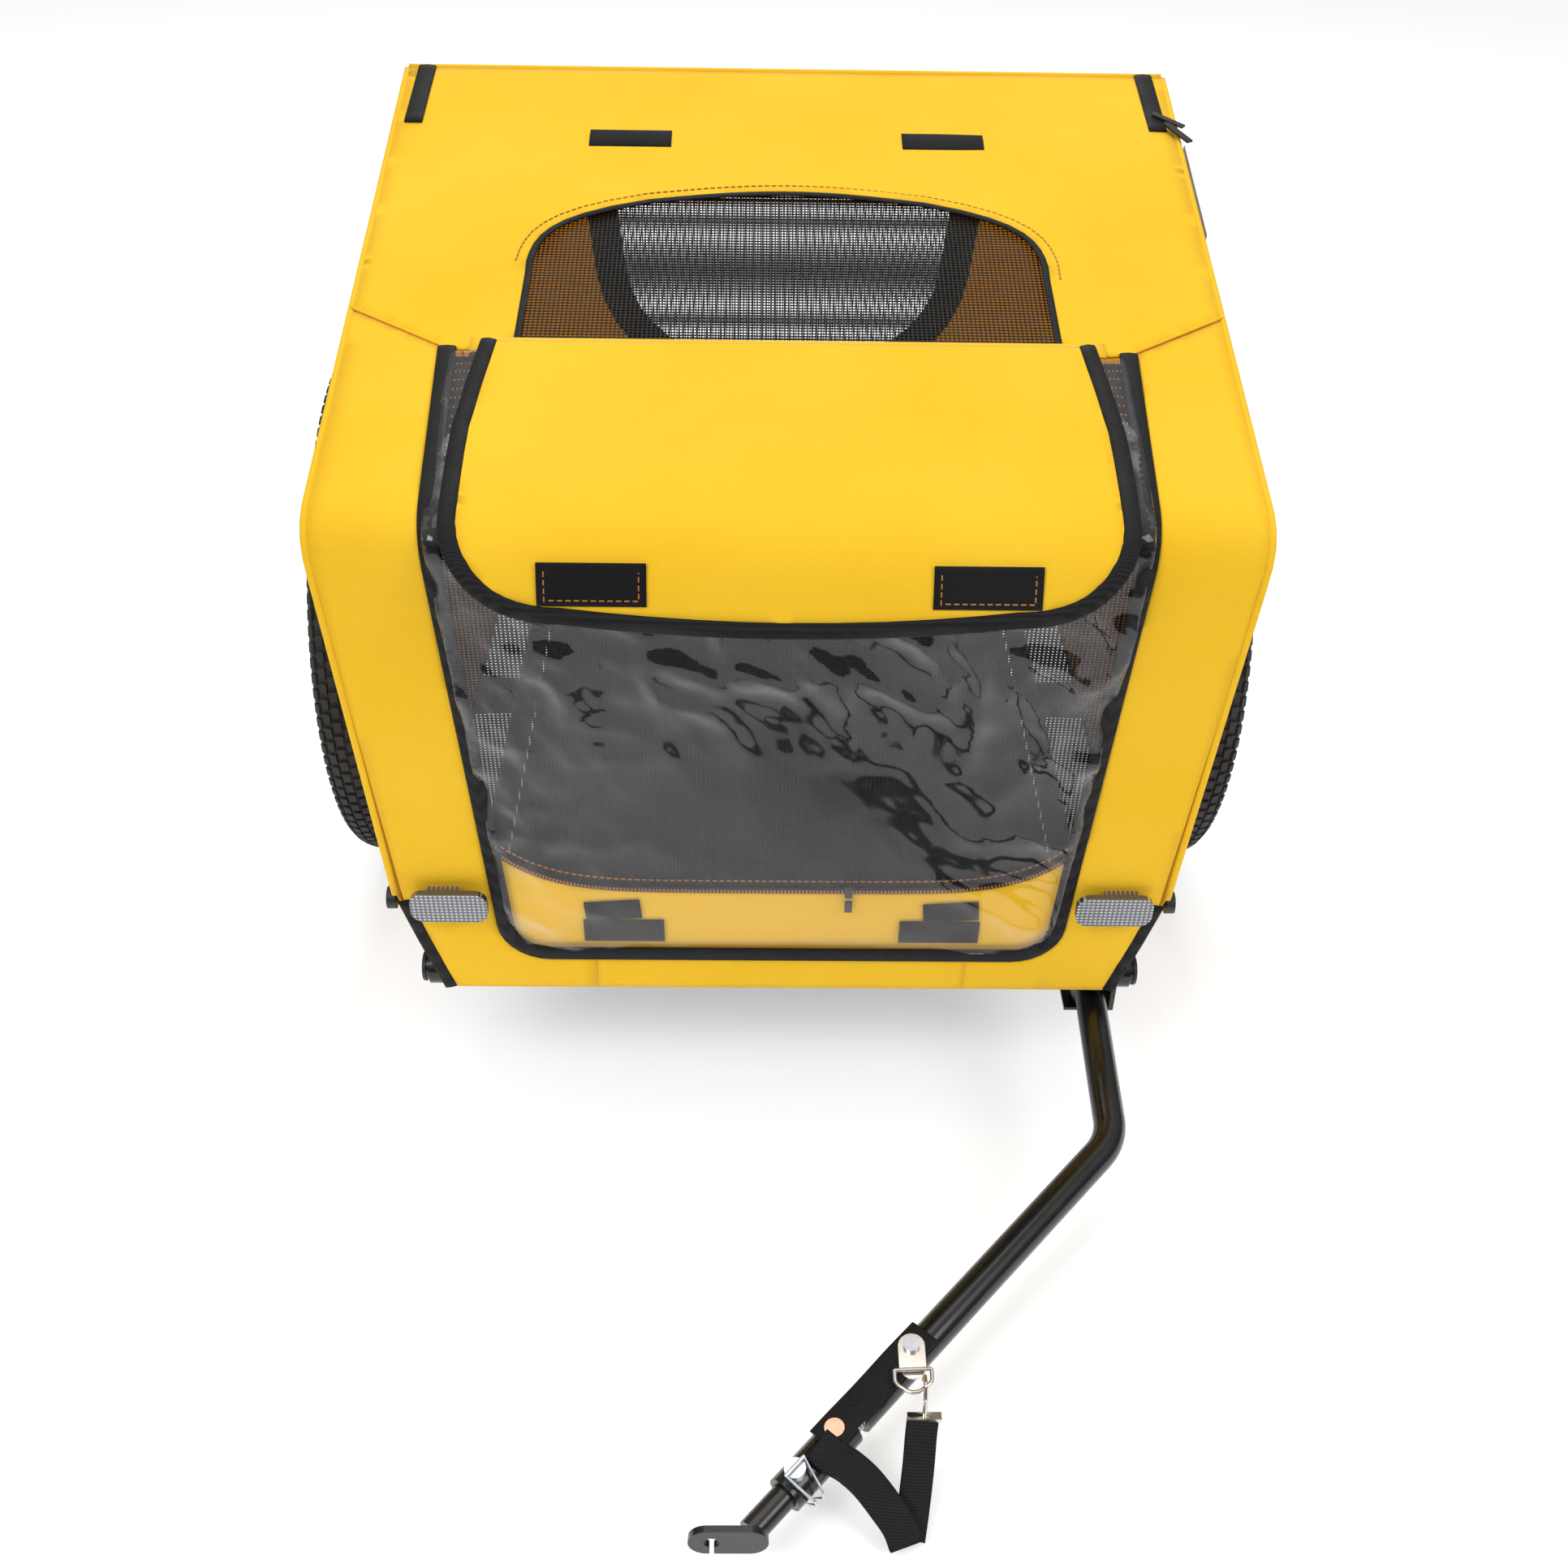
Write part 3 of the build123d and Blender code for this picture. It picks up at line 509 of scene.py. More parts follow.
def round_tube(name, path, radius, material, sides=8):
    """A tube along an open path of points."""
    path = np.asarray(path, float)
    ways = headings(path)
    side = np.cross(ways[0], (0, 0, 1) if abs(ways[0][2]) < 0.9 else (1, 0, 0))
    vertices = []
    for p, way in zip(path, ways):
        side = side - way * (side @ way)
        side /= np.linalg.norm(side)
        up = np.cross(way, side)
        vertices += [p + radius * (side * math.cos(a) + up * math.sin(a))
                     for a in np.linspace(0, 2 * math.pi, sides, endpoint=False)]
    return tidy_normals(piece(name, vertices, swept(len(path), sides), material))


def bar(centre, way, up, length, width, height):
    """Vertices and faces of a small box along a direction."""
    way, up = np.asarray(way, float), np.asarray(up, float)
    way = way / np.linalg.norm(way)
    side = np.cross(way, up)
    side /= np.linalg.norm(side)
    up = np.cross(side, way)
    corners = [centre + way * (i * length / 2) + side * (j * width / 2) + up * (k * height / 2)
               for i in (-1, 1) for j in (-1, 1) for k in (-1, 1)]
    return corners, [(0, 1, 3, 2), (4, 6, 7, 5), (0, 4, 5, 1), (2, 3, 7, 6), (0, 2, 6, 4), (1, 5, 7, 3)]


def bars(name, places, length, width, height, material):
    """Many small boxes as one piece: stitches, teeth or tread blocks. places are (centre, way, up)."""
    vertices, faces = [], []
    for centre, way, up in places:
        corners, sides = bar(np.asarray(centre, float), way, up, length, width, height)
        faces += [tuple(len(vertices) + k for k in f) for f in sides]
        vertices += corners
    return tidy_normals(piece(name, vertices, faces, material, smooth=False))


def stitches(name, profile, flat_path, material, lift=0.0018, pitch=0.0055, length=0.0036, width=0.0009):
    """A row of sewn stitches on a profile."""
    line = dense(flat_path, 0.0005, closed=False)
    travelled = np.concatenate([[0], np.cumsum(np.linalg.norm(np.diff(line, axis=0), axis=1))])
    marks = np.arange(pitch / 2, travelled[-1], pitch)
    u, s = np.interp(marks, travelled, line[:, 0]), np.interp(marks, travelled, line[:, 1])
    u2, s2 = np.interp(marks + 0.001, travelled, line[:, 0]), np.interp(marks + 0.001, travelled, line[:, 1])
    a, b, n = profile.at(u, s, lift), profile.at(u2, s2, lift), profile.at(u, s, lift + 0.01)
    places = [(p, q - p, r - p) for p, q, r in zip(a, b, n) if np.linalg.norm(q - p) > 1e-6]
    return bars(name, places, length, width, 0.0007, material)


def rides(body="root"):
    """Makes a call that puts pieces on a body and gives each its own copy of its mesh."""
    def ride(*made, slot=None):
        for each in made:
            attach(each, body)
            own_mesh(each)
    return ride


RISE_Z, RISE_KEEP = 0.21, 0.155  # the rear cloth is cut into a foot and an upper part at this height
ride_fold, ride_rear, ride_seat = rides(), rides(), rides()
ride_flap, ride_hem = rides("sun_flap"), rides("canopy_top")


def ride_still(made, slot=None):
    """What stays as it is when the frame folds."""
    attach(made, "root")


def stand_in(made, node=None, slot=None, ride=ride_fold):
    """A piece in place of a CAD node."""
    if node:
        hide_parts(node)
    ride(made, slot=slot)


def sheet(made, node, slot, ride=ride_fold):
    """A sheet in place of a CAD node, with the flat size that it was cut to."""
    stand_in(made, node, slot, ride)


# ---- cabin ----
SOFT = 0.06                      # length over which the cloth turns round its front edge
knee_s = float(np.linalg.norm(KNEE - FRONT_HEM))
shell = Profile([FRONT_HEM, KNEE, TOP], soften=SOFT)
slope_s = float(np.linalg.norm(TOP - KNEE))
lean = (TOP - KNEE) / slope_s


def over(y):
    """Distance along the shell to the roof place over y."""
    return knee_s + (y - KNEE[0]) / lean[0]


HEM_S, SEAM_S, SHELL_END = over(0.026), over(0.072), knee_s + slope_s
HEM_CUT = 0.012                  # the cloth ends just under the bar that it wraps
HEM_HALF, SEAM_HALF = 0.2485, 0.3255    # half the shell's width at the door's top and at the hood's seam
SILL_HALF, SILL_TOP = 0.15, 0.054       # the sill under the door, between the two front strips
door = rounded([(-HEM_HALF, HEM_S), (-0.240, knee_s), (-0.218, SILL_TOP), (0.218, SILL_TOP), (0.240, knee_s),
                (HEM_HALF, HEM_S)], {2: 0.034, 3: 0.034})
down_door = [p for p in door if p[0] >= SILL_HALF][::-1]      # its edge, from the hood to its foot
strip_edge = [(SILL_HALF, HEM_CUT), (0.271, HEM_CUT), (0.2975, 0.11), (0.3220, knee_s), (SEAM_HALF, SEAM_S),
              *down_door, (SILL_HALF, SILL_TOP)]
for sign, hand in SIDES:
    strip = cloth(f"front_strip_{hand}", shell, np.array(strip_edge) * (sign, 1), YELLOW, bulge=0.002, wave=0.0022,
                  scale=7, seed=1.3 + sign, lift=0.001)
    sheet(strip, "front_panel", "yellow_fabric")
sill_edge = [(-SILL_HALF, HEM_CUT), (SILL_HALF, HEM_CUT), (SILL_HALF, SILL_TOP), (-SILL_HALF, SILL_TOP)]
sill = cloth("front_sill", shell, sill_edge, YELLOW, wave=0.0012, scale=7, seed=1.9, lift=0.001)
sheet(sill, None, "yellow_fabric")

WINDOW_HALF = (window_high.x - window_low.x) / 2 - 0.008
window_s = knee_s + 0.2007
arch_s, crown_s = knee_s + 0.29, knee_s + 0.392         # where the window's arch starts, and its flatter top
arch, crown = np.linspace(0.15, 1, 9), np.linspace(0.15, 1, 7)
window = np.array(
    [(-WINDOW_HALF, window_s), (WINDOW_HALF, window_s), (WINDOW_HALF - 0.001, arch_s)]
    + [(0.199 - 0.023 * t ** 2 - 0.066 * t ** 4, arch_s + 0.102 * t ** 0.9) for t in arch]
    + [(0.11 - 0.11 * t, crown_s + 0.0136 * math.sin(t * math.pi / 2)) for t in crown]
    + [(-0.11 * t, crown_s + 0.0136 * math.cos(t * math.pi / 2)) for t in crown]
    + [(-0.199 + 0.023 * t ** 2 + 0.066 * t ** 4, arch_s + 0.102 * t ** 0.9) for t in np.linspace(1, 0.15, 9)]
    + [(-WINDOW_HALF + 0.001, arch_s)])
TOP_HALF = 0.3300                # half the cabin's width along its rear top edge
roof_edge = [(-HEM_HALF, HEM_S), (HEM_HALF, HEM_S), (SEAM_HALF, SEAM_S), (TOP_HALF, SHELL_END),
             (-TOP_HALF, SHELL_END), (-SEAM_HALF, SEAM_S)]
roof_cloth = cloth("roof_panel_cloth", shell, roof_edge, YELLOW, [window], bulge=0.002, wave=0.0025, scale=6,
                   seed=4.1, lift=0.001)
sheet(roof_cloth, "roof_panel", "yellow_fabric")

window_net = cloth("roof_window_netting", shell, grown(window, 0.006), MESH_ROOF, step=0.02, thickness=0.0005,
                   lift=-0.0012)
sheet(window_net, "roof_window_mesh", "black_mesh")
window_tape = tape_on("window_binding", shell, window, 0.0055, BLACK_TAPE, lift=0.001, closed=True)
window_sewing = stitches("window_stitching", shell, grown(window, 0.0105)[2:-1], STITCH_RUST, lift=0.0022)
ride_fold(window_tape, window_sewing)

door_tape = tape_on("door_binding", shell, door, 0.0135, BLACK_TAPE, lift=0.0022, thickness=0.003)
ride_fold(door_tape)
for sign, hand in SIDES:
    corner_path = [(sign * 0.2975, 0.112), (sign * 0.2865, 0.068), (sign * 0.271, HEM_CUT)]
    corner = tape_on(f"corner_binding_{hand}", shell, corner_path, 0.010, BLACK_TAPE, lift=0.0015)
    seam_path = [(sign * 0.3250, SEAM_S), (sign * HEM_HALF, HEM_S)]
    seam_line = tape_on(f"hood_seam_{hand}", shell, seam_path, 0.0022, YELLOW, lift=0.0022)
    ride_fold(corner, seam_line)

# ---- front door: mesh above its curved zip, yellow cloth below, clear rain cover outside ----


def zip_s(u):
    """Height of the mesh door's lower zip, which rises towards both sides."""
    return 0.123 + 0.050 * (np.abs(u) / 0.23) ** 6


span = np.linspace(-0.232, 0.232, 41)
zip_line = np.stack([span, zip_s(span)], 1)
inner = Profile([FRONT_HEM, KNEE, TOP], soften=SOFT, lift=-0.0022)
net_edge = [*zip_line, (0.25, knee_s), (0.252, HEM_S - 0.004), (-0.252, HEM_S - 0.004), (-0.25, knee_s)]
door_net = cloth("front_door_netting", inner, net_edge, MESH_FRONT, step=0.02, thickness=0.0005, bulge=-0.004,
                 wave=0.001, seed=2.2)
sheet(door_net, "front_door_mesh", "black_mesh")
kick_edge = [(-0.232, 0.13), (-0.226, 0.052), (-0.19, 0.036), (0.19, 0.036), (0.226, 0.052), (0.232, 0.13),
             *zip_line[::-1]]
kick_cloth = cloth("door_kick_cloth", inner, kick_edge, YELLOW, bulge=0.001, wave=0.0015, seed=7.7)
door_zip = tape_on("door_zip_tape", inner, zip_line, 0.006, BLACK_TAPE, lift=0.0008, thickness=0.001)
zip_teeth = stitches("door_zip_teeth", inner, zip_line, STITCH_RUST, lift=0.0022, pitch=0.0028, length=0.0016,
                     width=0.0026)
zip_sewing = stitches("door_zip_stitching", inner, zip_line + (0, 0.010), STITCH_RUST, lift=0.0008)
PULL_U = 0.052                   # how far left of the middle the zip's pull hangs
pull_top = inner.at(np.array([PULL_U]), np.array([zip_s(PULL_U)]), 0.0025)[0]
pull_parts = [(pull_top, (0, -0.08, 1), (0, -1, 0)),
              (pull_top + (0, -0.001, -0.014), (0, -0.1, 1), (0, -1, 0))]
zip_pull = modify(bars("door_zip_pull", pull_parts, 0.012, 0.006, 0.0022, PLASTIC), "BEVEL", width=0.0006,
                  segments=2)
sheet(kick_cloth, None, None)
ride_fold(door_zip, zip_teeth, zip_sewing, zip_pull)

patches = []
for sign in (-1, 1):
    for u, s, wide, tall, turn in ((0.126, 0.078, 0.064, 0.024, 0.0), (0.134, 0.101, 0.044, 0.020, 0.25)):
        path = [(sign * u - wide / 2, s - turn * wide / 6), (sign * u + wide / 2, s + turn * wide / 6)]
        patches.append(tape_on("patch", inner, path, tall, BLACK_HOOK, lift=0.0018, thickness=0.002))
ride_fold(join("door_hook_patches", patches))

COVER_TOP, COVER_FOOT = HEM_S - 0.003, SILL_TOP + 0.004
cover_edge = rounded([(-0.2455, COVER_TOP), (-0.243, knee_s), (-0.214, COVER_FOOT), (0.214, COVER_FOOT),
                      (0.243, knee_s), (0.2455, COVER_TOP)], {2: 0.033, 3: 0.033})
outer = Profile([FRONT_HEM, KNEE, TOP], soften=SOFT, lift=0.0036)
cover = cloth("rain_cover_film", outer, cover_edge, FILM, step=0.007, bulge=0.004, thickness=0.0, seed=3.7)
for vertex in cover.data.vertices:      # wrinkled along its top and sides, smooth in the middle
    x, y, z = vertex.co
    side = min(1.0, abs(x) / 0.225) ** 3
    high = np.clip((z - 0.375) / 0.09, 0, 1)
    amount = min(1.0, 0.04 + side + 0.8 * high)
    fold = 1 - abs(noise.noise(Vector((x * 19 + 4 * z, 4.0, z * 13))))
    fine = 1 - abs(noise.noise(Vector((x * 44, 5.0, z * 33 + 6 * x))))
    vertex.co.y -= amount * (0.0080 * fold ** 4 + 0.0034 * fine ** 3) - 0.0025
modify(cover, "SUBSURF", levels=1, render_levels=1)
modify(cover, "SOLIDIFY", thickness=0.0006, offset=0.0)
cover.data.shade_smooth()
sheet(cover, "rain_cover", "clear_film")

# ---- side and rear walls ----
WALL_X, WALL_Z, WALL_SLOPE = 0.298, 0.150, 0.056    # the foot of a side wall, and how far it leans out as it rises
WALL_HEM = 0.016                                    # the cloth's lower edge, over the wall's foot
WALL_FRONT, WALL_REAR = (-0.092, WALL_HEM), (0.4855, WALL_HEM)


class Wall:
    """A leaning side wall: u is Y, s is height over the wall's foot."""

    def __init__(self, sign):
        self.sign, self.lean = sign, math.atan(WALL_SLOPE)

    def at(self, u, s, height=0.0):
        """Points at a place along the wall, a height up it and a distance out from it."""
        out, up = math.cos(self.lean), math.sin(self.lean)
        x = WALL_X + s * up + height * out
        return np.stack([self.sign * x, u + 0 * s, WALL_Z + s * out - height * up], -1)


skirt = shell.at(np.zeros(60), np.linspace(0.118, SHELL_END - 0.002, 60))[:, 1:] - (0.0, WALL_Z)
wall_edge = [*map(tuple, skirt), WALL_REAR, WALL_FRONT]
for sign, hand in SIDES:
    wall = Wall(sign)
    wall_cloth = cloth(f"side_cloth_{hand}", wall, wall_edge, YELLOW, bulge=0.013, wave=0.005, scale=5,
                       seed=5.0 + sign)
    sheet(wall_cloth, f"side_panel_{hand}", "yellow_fabric")
    top_line = wall.at(skirt[:, 0], skirt[:, 1] + 0.0005, 0.0005)
    piping = round_tube(f"side_piping_{hand}", top_line, 0.0030, YELLOW)
    hem_line = wall.at(*dense([WALL_FRONT, (0.483, WALL_HEM)], 0.02, closed=False).T)
    hem = round_tube(f"side_hem_{hand}", hem_line, 0.0024, BLACK_TAPE)
    zip_path = [(sign * 0.3135, over(0.326)), (sign * 0.3125, SHELL_END - 0.001)]
    corner_zip = tape_on(f"corner_zip_{hand}", shell, zip_path, 0.015, BLACK_TAPE, lift=0.0022, thickness=0.0022)
    corner_line = wall.at(*dense([(TOP[0], TOP[1] - WALL_Z), WALL_REAR], 0.02, closed=False).T)
    rear_piping = round_tube(f"rear_piping_{hand}", corner_line, 0.0030, YELLOW)
    ride_fold(piping, rear_piping, corner_zip)
    ride_still(hem)

rear = Profile([TOP, REAR_HEM], soften=0.0)
rear_s = float(np.linalg.norm(REAR_HEM - TOP))
rear_door = rounded([(-0.172, 0.04), (0.172, 0.04), (0.150, 0.29), (-0.150, 0.29)],
                    {0: 0.012, 1: 0.012, 2: 0.11, 3: 0.11})
RISE_HALF = 0.3020               # half the rear cloth's width at the height where it is cut in two
rise_s = float((TOP[1] - RISE_Z) / (TOP[1] - REAR_HEM[1]) * rear_s)
rear_edge = [(-TOP_HALF, 0.001), (TOP_HALF, 0.001), (RISE_HALF, rise_s), (-RISE_HALF, rise_s)]
rear_cloth = cloth("rear_panel_cloth", rear, rear_edge, YELLOW, [rear_door], bulge=0.003, wave=0.003, scale=5,
                   seed=9.0)
sheet(rear_cloth, "rear_panel", "yellow_fabric", ride=ride_rear)
foot_edge = [(-RISE_HALF, rise_s), (RISE_HALF, rise_s), (0.2985, rear_s - 0.016), (0.275, rear_s),
             (-0.275, rear_s), (-0.2985, rear_s - 0.016)]
rear_foot = cloth("rear_foot_cloth", rear, foot_edge, YELLOW, wave=0.001, scale=5, seed=9.0)
sheet(rear_foot, "rear_panel", "yellow_fabric", ride=ride_still)
rear_net = cloth("rear_door_netting", rear, grown(rear_door, 0.006), MESH_REAR, step=0.02, thickness=0.0005,
                 lift=-0.001)
rear_tape = tape_on("rear_door_binding", rear, rear_door, 0.02, BLACK_TAPE, lift=0.0015, thickness=0.0022,
                    closed=True)
rear_tape_inside = tape_on("rear_door_binding_inside", rear, grown(rear_door, 0.005), 0.026, BLACK_TAPE,
                           lift=-0.0008, thickness=-0.0018, closed=True)
ride_rear(rear_tape_inside)
rear_tabs = join("rear_door_tabs", [tape_on("tab", rear, [(x - 0.025, 0.052), (x + 0.025, 0.052)], 0.014,
                                            BLACK_HOOK, lift=-0.003) for x in (-0.1, 0.1)])
edge_line = [(x, TOP[0], TOP[1] + 0.001) for x in np.linspace(-0.329, 0.329, 40)]
roof_fold = round_tube("rear_edge_piping", edge_line, 0.0025, YELLOW)
sheet(rear_net, "rear_door_mesh", "black_mesh", ride=ride_rear)
ride_rear(rear_tape, rear_tabs)
ride_fold(roof_fold)

pull_spot = shell.at(np.array([0.316]), np.array([over(0.335)]), 0.005)[0]
pull_parts = [(pull_spot + (0.008, 0.006, 0.001), (0.8, -0.55, -0.2), (0, 0, 1)),
              (pull_spot + (0.013, -0.016, -0.003), (0.55, -0.8, -0.25), (0, 0, 1))]
corner_pulls = modify(bars("corner_zip_pulls", pull_parts, 0.030, 0.0065, 0.0022, PLASTIC), "BEVEL", width=0.0006,
                      segments=2)
left_wall = Wall(1)
strip_path = dense([(0.345, 0.525), (0.215, 0.493)], 0.01, closed=False)
low, high = left_wall.at(*strip_path.T, 0.0135), left_wall.at(*strip_path.T, 0.03)
grey_strip = ribbon("reflective_strip", low, high - low, 0.020, 0.0012, GREY_STRIP)
ride_fold(corner_pulls, grey_strip)

PATCH_X = (-0.130, 0.130)        # the middles of the hook strips on the roof and on the flap
hooks_low, hooks_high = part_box("roof_hooks")
hooks_s = over((hooks_low.y + hooks_high.y) / 2)
strips = join("roof_hook_strips", [tape_on("strip", shell, [(x - 0.034, hooks_s), (x + 0.034, hooks_s)], 0.025,
                                           BLACK_HOOK, lift=0.0022) for x in PATCH_X])
stand_in(strips, "roof_hooks", "black_webbing")

# ---- sun flap ----
flap_line = Profile([(0.027, 0.6305), (-0.150, 0.5905), (-0.183, 0.5785), (-0.1955, 0.5455), (-0.2025, 0.5005)],
                    soften=0.05)
FLAP_HALF = (flap_high.x - flap_low.x) / 2 - 0.007
FLAP_TURN, FLAP_SAG = 0.150, 0.009      # where its lower corners start to turn, and how far its middle hangs lower
flap_end = flap_line.length - 0.026


def flap_foot():
    """The flap's sagging lower edge with its wide rounded corners, from one side to the other."""
    turn = np.linspace(0, math.pi / 2, 14)
    u = FLAP_TURN + (FLAP_HALF + 0.002 - FLAP_TURN) * np.sin(turn) ** 0.85
    s = flap_end - FLAP_SAG - 0.078 * (1 - np.cos(turn) ** 0.85)
    side = np.stack([u, s], 1)[::-1]
    middle = [(x, flap_end - FLAP_SAG * (x / FLAP_TURN) ** 2) for x in np.linspace(0.125, -0.125, 9)]
    return [*side, *middle, *(side[::-1] * (-1, 1))]


flap_side = [(FLAP_HALF - 0.006, 0), (FLAP_HALF - 0.001, 0.05), (FLAP_HALF + 0.003, 0.10), (FLAP_HALF + 0.003, 0.13)]
flap_outline = np.array([(-u, s) for u, s in flap_side[::-1]] + flap_side + flap_foot())
# The flap's profile runs forwards, so its normal points inwards and its outward lifts are below zero.
flap_cloth = cloth("sun_flap_cloth", flap_line, flap_outline, YELLOW, bulge=-0.001, wave=0.0014, scale=6, seed=11.0,
                   lift=-0.001)
flap_tape = tape_on("sun_flap_binding", flap_line, np.roll(flap_outline, -4, axis=0), 0.0125, BLACK_TAPE,
                    lift=0.001, thickness=-0.0045)
flap_patches, patch_sewing = [], []
for x in PATCH_X:
    s = flap_end - 0.031
    flap_patches.append(tape_on("patch", flap_line, [(x - 0.036, s), (x + 0.036, s)], 0.029, BLACK_HOOK,
                                lift=-0.0018, thickness=-0.0018))
    frame_path = [(x - 0.031, s - 0.0105), (x + 0.031, s - 0.0105), (x + 0.031, s + 0.0105),
                  (x - 0.031, s + 0.0105), (x - 0.031, s - 0.0105)]
    patch_sewing.append(stitches("sewing", flap_line, frame_path, STITCH_RUST, lift=-0.0037))
flap_hooks = join("sun_flap_hooks", flap_patches)
flap_sewing = join("sun_flap_stitching", patch_sewing)
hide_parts("flap_patches")
sheet(flap_cloth, "sun_flap", "yellow_fabric", ride=ride_flap)
ride_flap(flap_tape, flap_hooks, flap_sewing)
hem_strip = tape_on("sun_flap_hem", shell, [(-0.232, over(0.030)), (0.232, over(0.030))], 0.016, YELLOW, lift=0.0025)
stand_in(hem_strip, "flap_hem", ride=ride_hem)

# ---- tow arm webbing and fittings ----
pivot = np.array(joints["coupler_flex"]["pos_m"])
arm_up = np.array(joints["coupler_flex"]["axis"])
arm_up /= np.linalg.norm(arm_up)
arm_aim = np.array([-0.6791, -0.7248, -0.1160])
arm_side = np.cross(arm_up, arm_aim)


def on_arm(along, side=0.0, up=0.0):
    """A place beside the coupler's flexing gap: along the arm towards its tip, sideways and up."""
    return pivot + arm_aim * along + arm_side * side + arm_up * up


def bend(made, node):
    """A piece in place of a CAD node by the coupler, between the arm and the gap's far side, with its placement
    baked into its mesh.
    """
    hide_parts(node)
    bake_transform(made)


def along_arm(node):
    """How far along the arm from the gap a CAD node's middle is."""
    low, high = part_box(node)
    return float(((np.array(low) + np.array(high)) / 2 - pivot) @ arm_aim)


rivet_mark = along_arm("strap_rivet")
run_marks = np.linspace(along_arm("ring_bolt") - 0.016, rivet_mark + 0.012, 60)
run_height = 0.0148 + 0.0005 * np.sin(run_marks * 90)
run_path = np.array([on_arm(t, 0, h) for t, h in zip(run_marks, run_height)])
strap_run = ribbon("strap_run_webbing", run_path, np.tile(arm_up, (60, 1)), 0.0235, 0.0018, BLACK_TAPE, crown=0.15)
bend(strap_run, "strap_run")
sweep = curve([on_arm(rivet_mark + 0.017, -0.001, 0.0182), (0.0335, -0.5085, 0.0625), (0.0455, -0.5105, 0.0530),
               (0.0580, -0.5150, 0.0410), (0.0705, -0.5245, 0.0285), (0.0800, -0.5340, 0.0195),
               (0.0848, -0.5435, 0.0125)], 60)
drop = curve([(0.0868, -0.5385, 0.0106), (0.0905, -0.5210, 0.0175), (0.0945, -0.4990, 0.0335),
              (0.0965, -0.4840, 0.0490), (0.0985, -0.4735, 0.0585)], 34)
SWEEP_FACE, DROP_FACE = (-0.15, -0.30, 0.94), (0.1, -0.45, 0.89)
crease_at, crease_way = np.array((0.0850, -0.5430, 0.0118)), np.array((0.93, 0.30, 0.1))
crease = [crease_at + crease_way * t for t in np.linspace(-0.0122, 0.0122, 9)]
loop_parts = [ribbon("sweep", sweep, np.tile(SWEEP_FACE, (len(sweep), 1)), 0.0245, 0.0017, BLACK_TAPE, crown=0.15),
              ribbon("drop", drop, np.tile(DROP_FACE, (len(drop), 1)), 0.0225, 0.0017, BLACK_TAPE, crown=0.15),
              round_tube("crease", crease, 0.0016, BLACK_TAPE)]
strap_loop = join("strap_loop_webbing", loop_parts)
bend(strap_loop, "strap_loop")

COIL_R, COIL_TURNS = 0.0078, 3.5
coil = [on_arm(t * 0.0105 - 0.0052, COIL_R * math.cos(t * 2 * math.pi * COIL_TURNS),
               COIL_R * math.sin(t * 2 * math.pi * COIL_TURNS)) for t in np.linspace(0, 1, 110)]
spring = round_tube("coupler_coil", coil, 0.0011, ZINC, sides=8)
bend(spring, "coupler_spring")

# ---- seat and harness ----


def pad(name, centre, half, along, out, channels, material):
    """A stuffed pad: crowned both ways, its sides pulled in between the corners, with sewn channels across it."""
    centre, along, out = (np.asarray(v, float) for v in (centre, along, out))
    u_way = np.array([1.0, 0.0, 0.0])
    v_way, n_way = along / np.linalg.norm(along), out / np.linalg.norm(out)
    us, vs = np.linspace(-1, 1, 57), np.linspace(-1, 1, 37)
    u, v = np.meshgrid(np.sin(us * math.pi / 2), np.sin(vs * math.pi / 2), indexing="ij")
    crown = np.clip((1 - np.abs(u) ** 7) * (1 - np.abs(v) ** 5), 0, 1) ** 0.5
    for c in channels:
        crown *= 1 - 0.30 * np.exp(-(((u * half[0]) - c) / 0.007) ** 2)
    wide = u * (1 - 0.018 * (1 - v ** 2)) * half[0]
    tall = v * (1 - 0.030 * (1 - u ** 2)) * half[1]
    dip = 0.0012 * np.sin(u * 23 + 3 * v) * np.cos(v * 11)
    vertices, faces = [], []
    for side in (1, -1):
        high = side * (crown * half[2] * (0.80 + 0.20 * (1 - v ** 2)) - np.abs(dip) * (crown > 0.3))
        vertices += [centre + u_way * a + v_way * b + n_way * h
                     for a, b, h in zip(wide.ravel(), tall.ravel(), high.ravel())]
    rows, columns = u.shape
    for offset, flip in ((0, False), (rows * columns, True)):
        for i in range(rows - 1):
            for j in range(columns - 1):
                a = offset + i * columns + j
                face = (a, a + columns, a + columns + 1, a + 1)
                faces.append(face[::-1] if flip else face)
    made = tidy_normals(piece(name, vertices, faces, material), weld=0.00005)
    made.data.shade_smooth()
    return made


seat_low, seat_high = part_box("seat_cushion")
CHANNELS = (-0.1, 0.0, 0.1)      # the sewn channels across the pads
seat_half = [(high - low) / 2 for low, high in zip(seat_low, seat_high)]
seat_pad = pad("seat_pad", (seat_low + seat_high) / 2, seat_half, (0, 1, 0), (0, 0, 1), CHANNELS, SEAT_CLOTH)
stand_in(seat_pad, "seat_cushion", "seat_fabric", ride_seat)
back_pad = pad("back_pad", (0, 0.4085, 0.3225), (0.205, 0.1085, 0.0185), (0, 0.030, 0.215), (0, -0.215, 0.030),
               CHANNELS, SEAT_CLOTH)
stand_in(back_pad, "backrest", "seat_fabric", ride_seat)

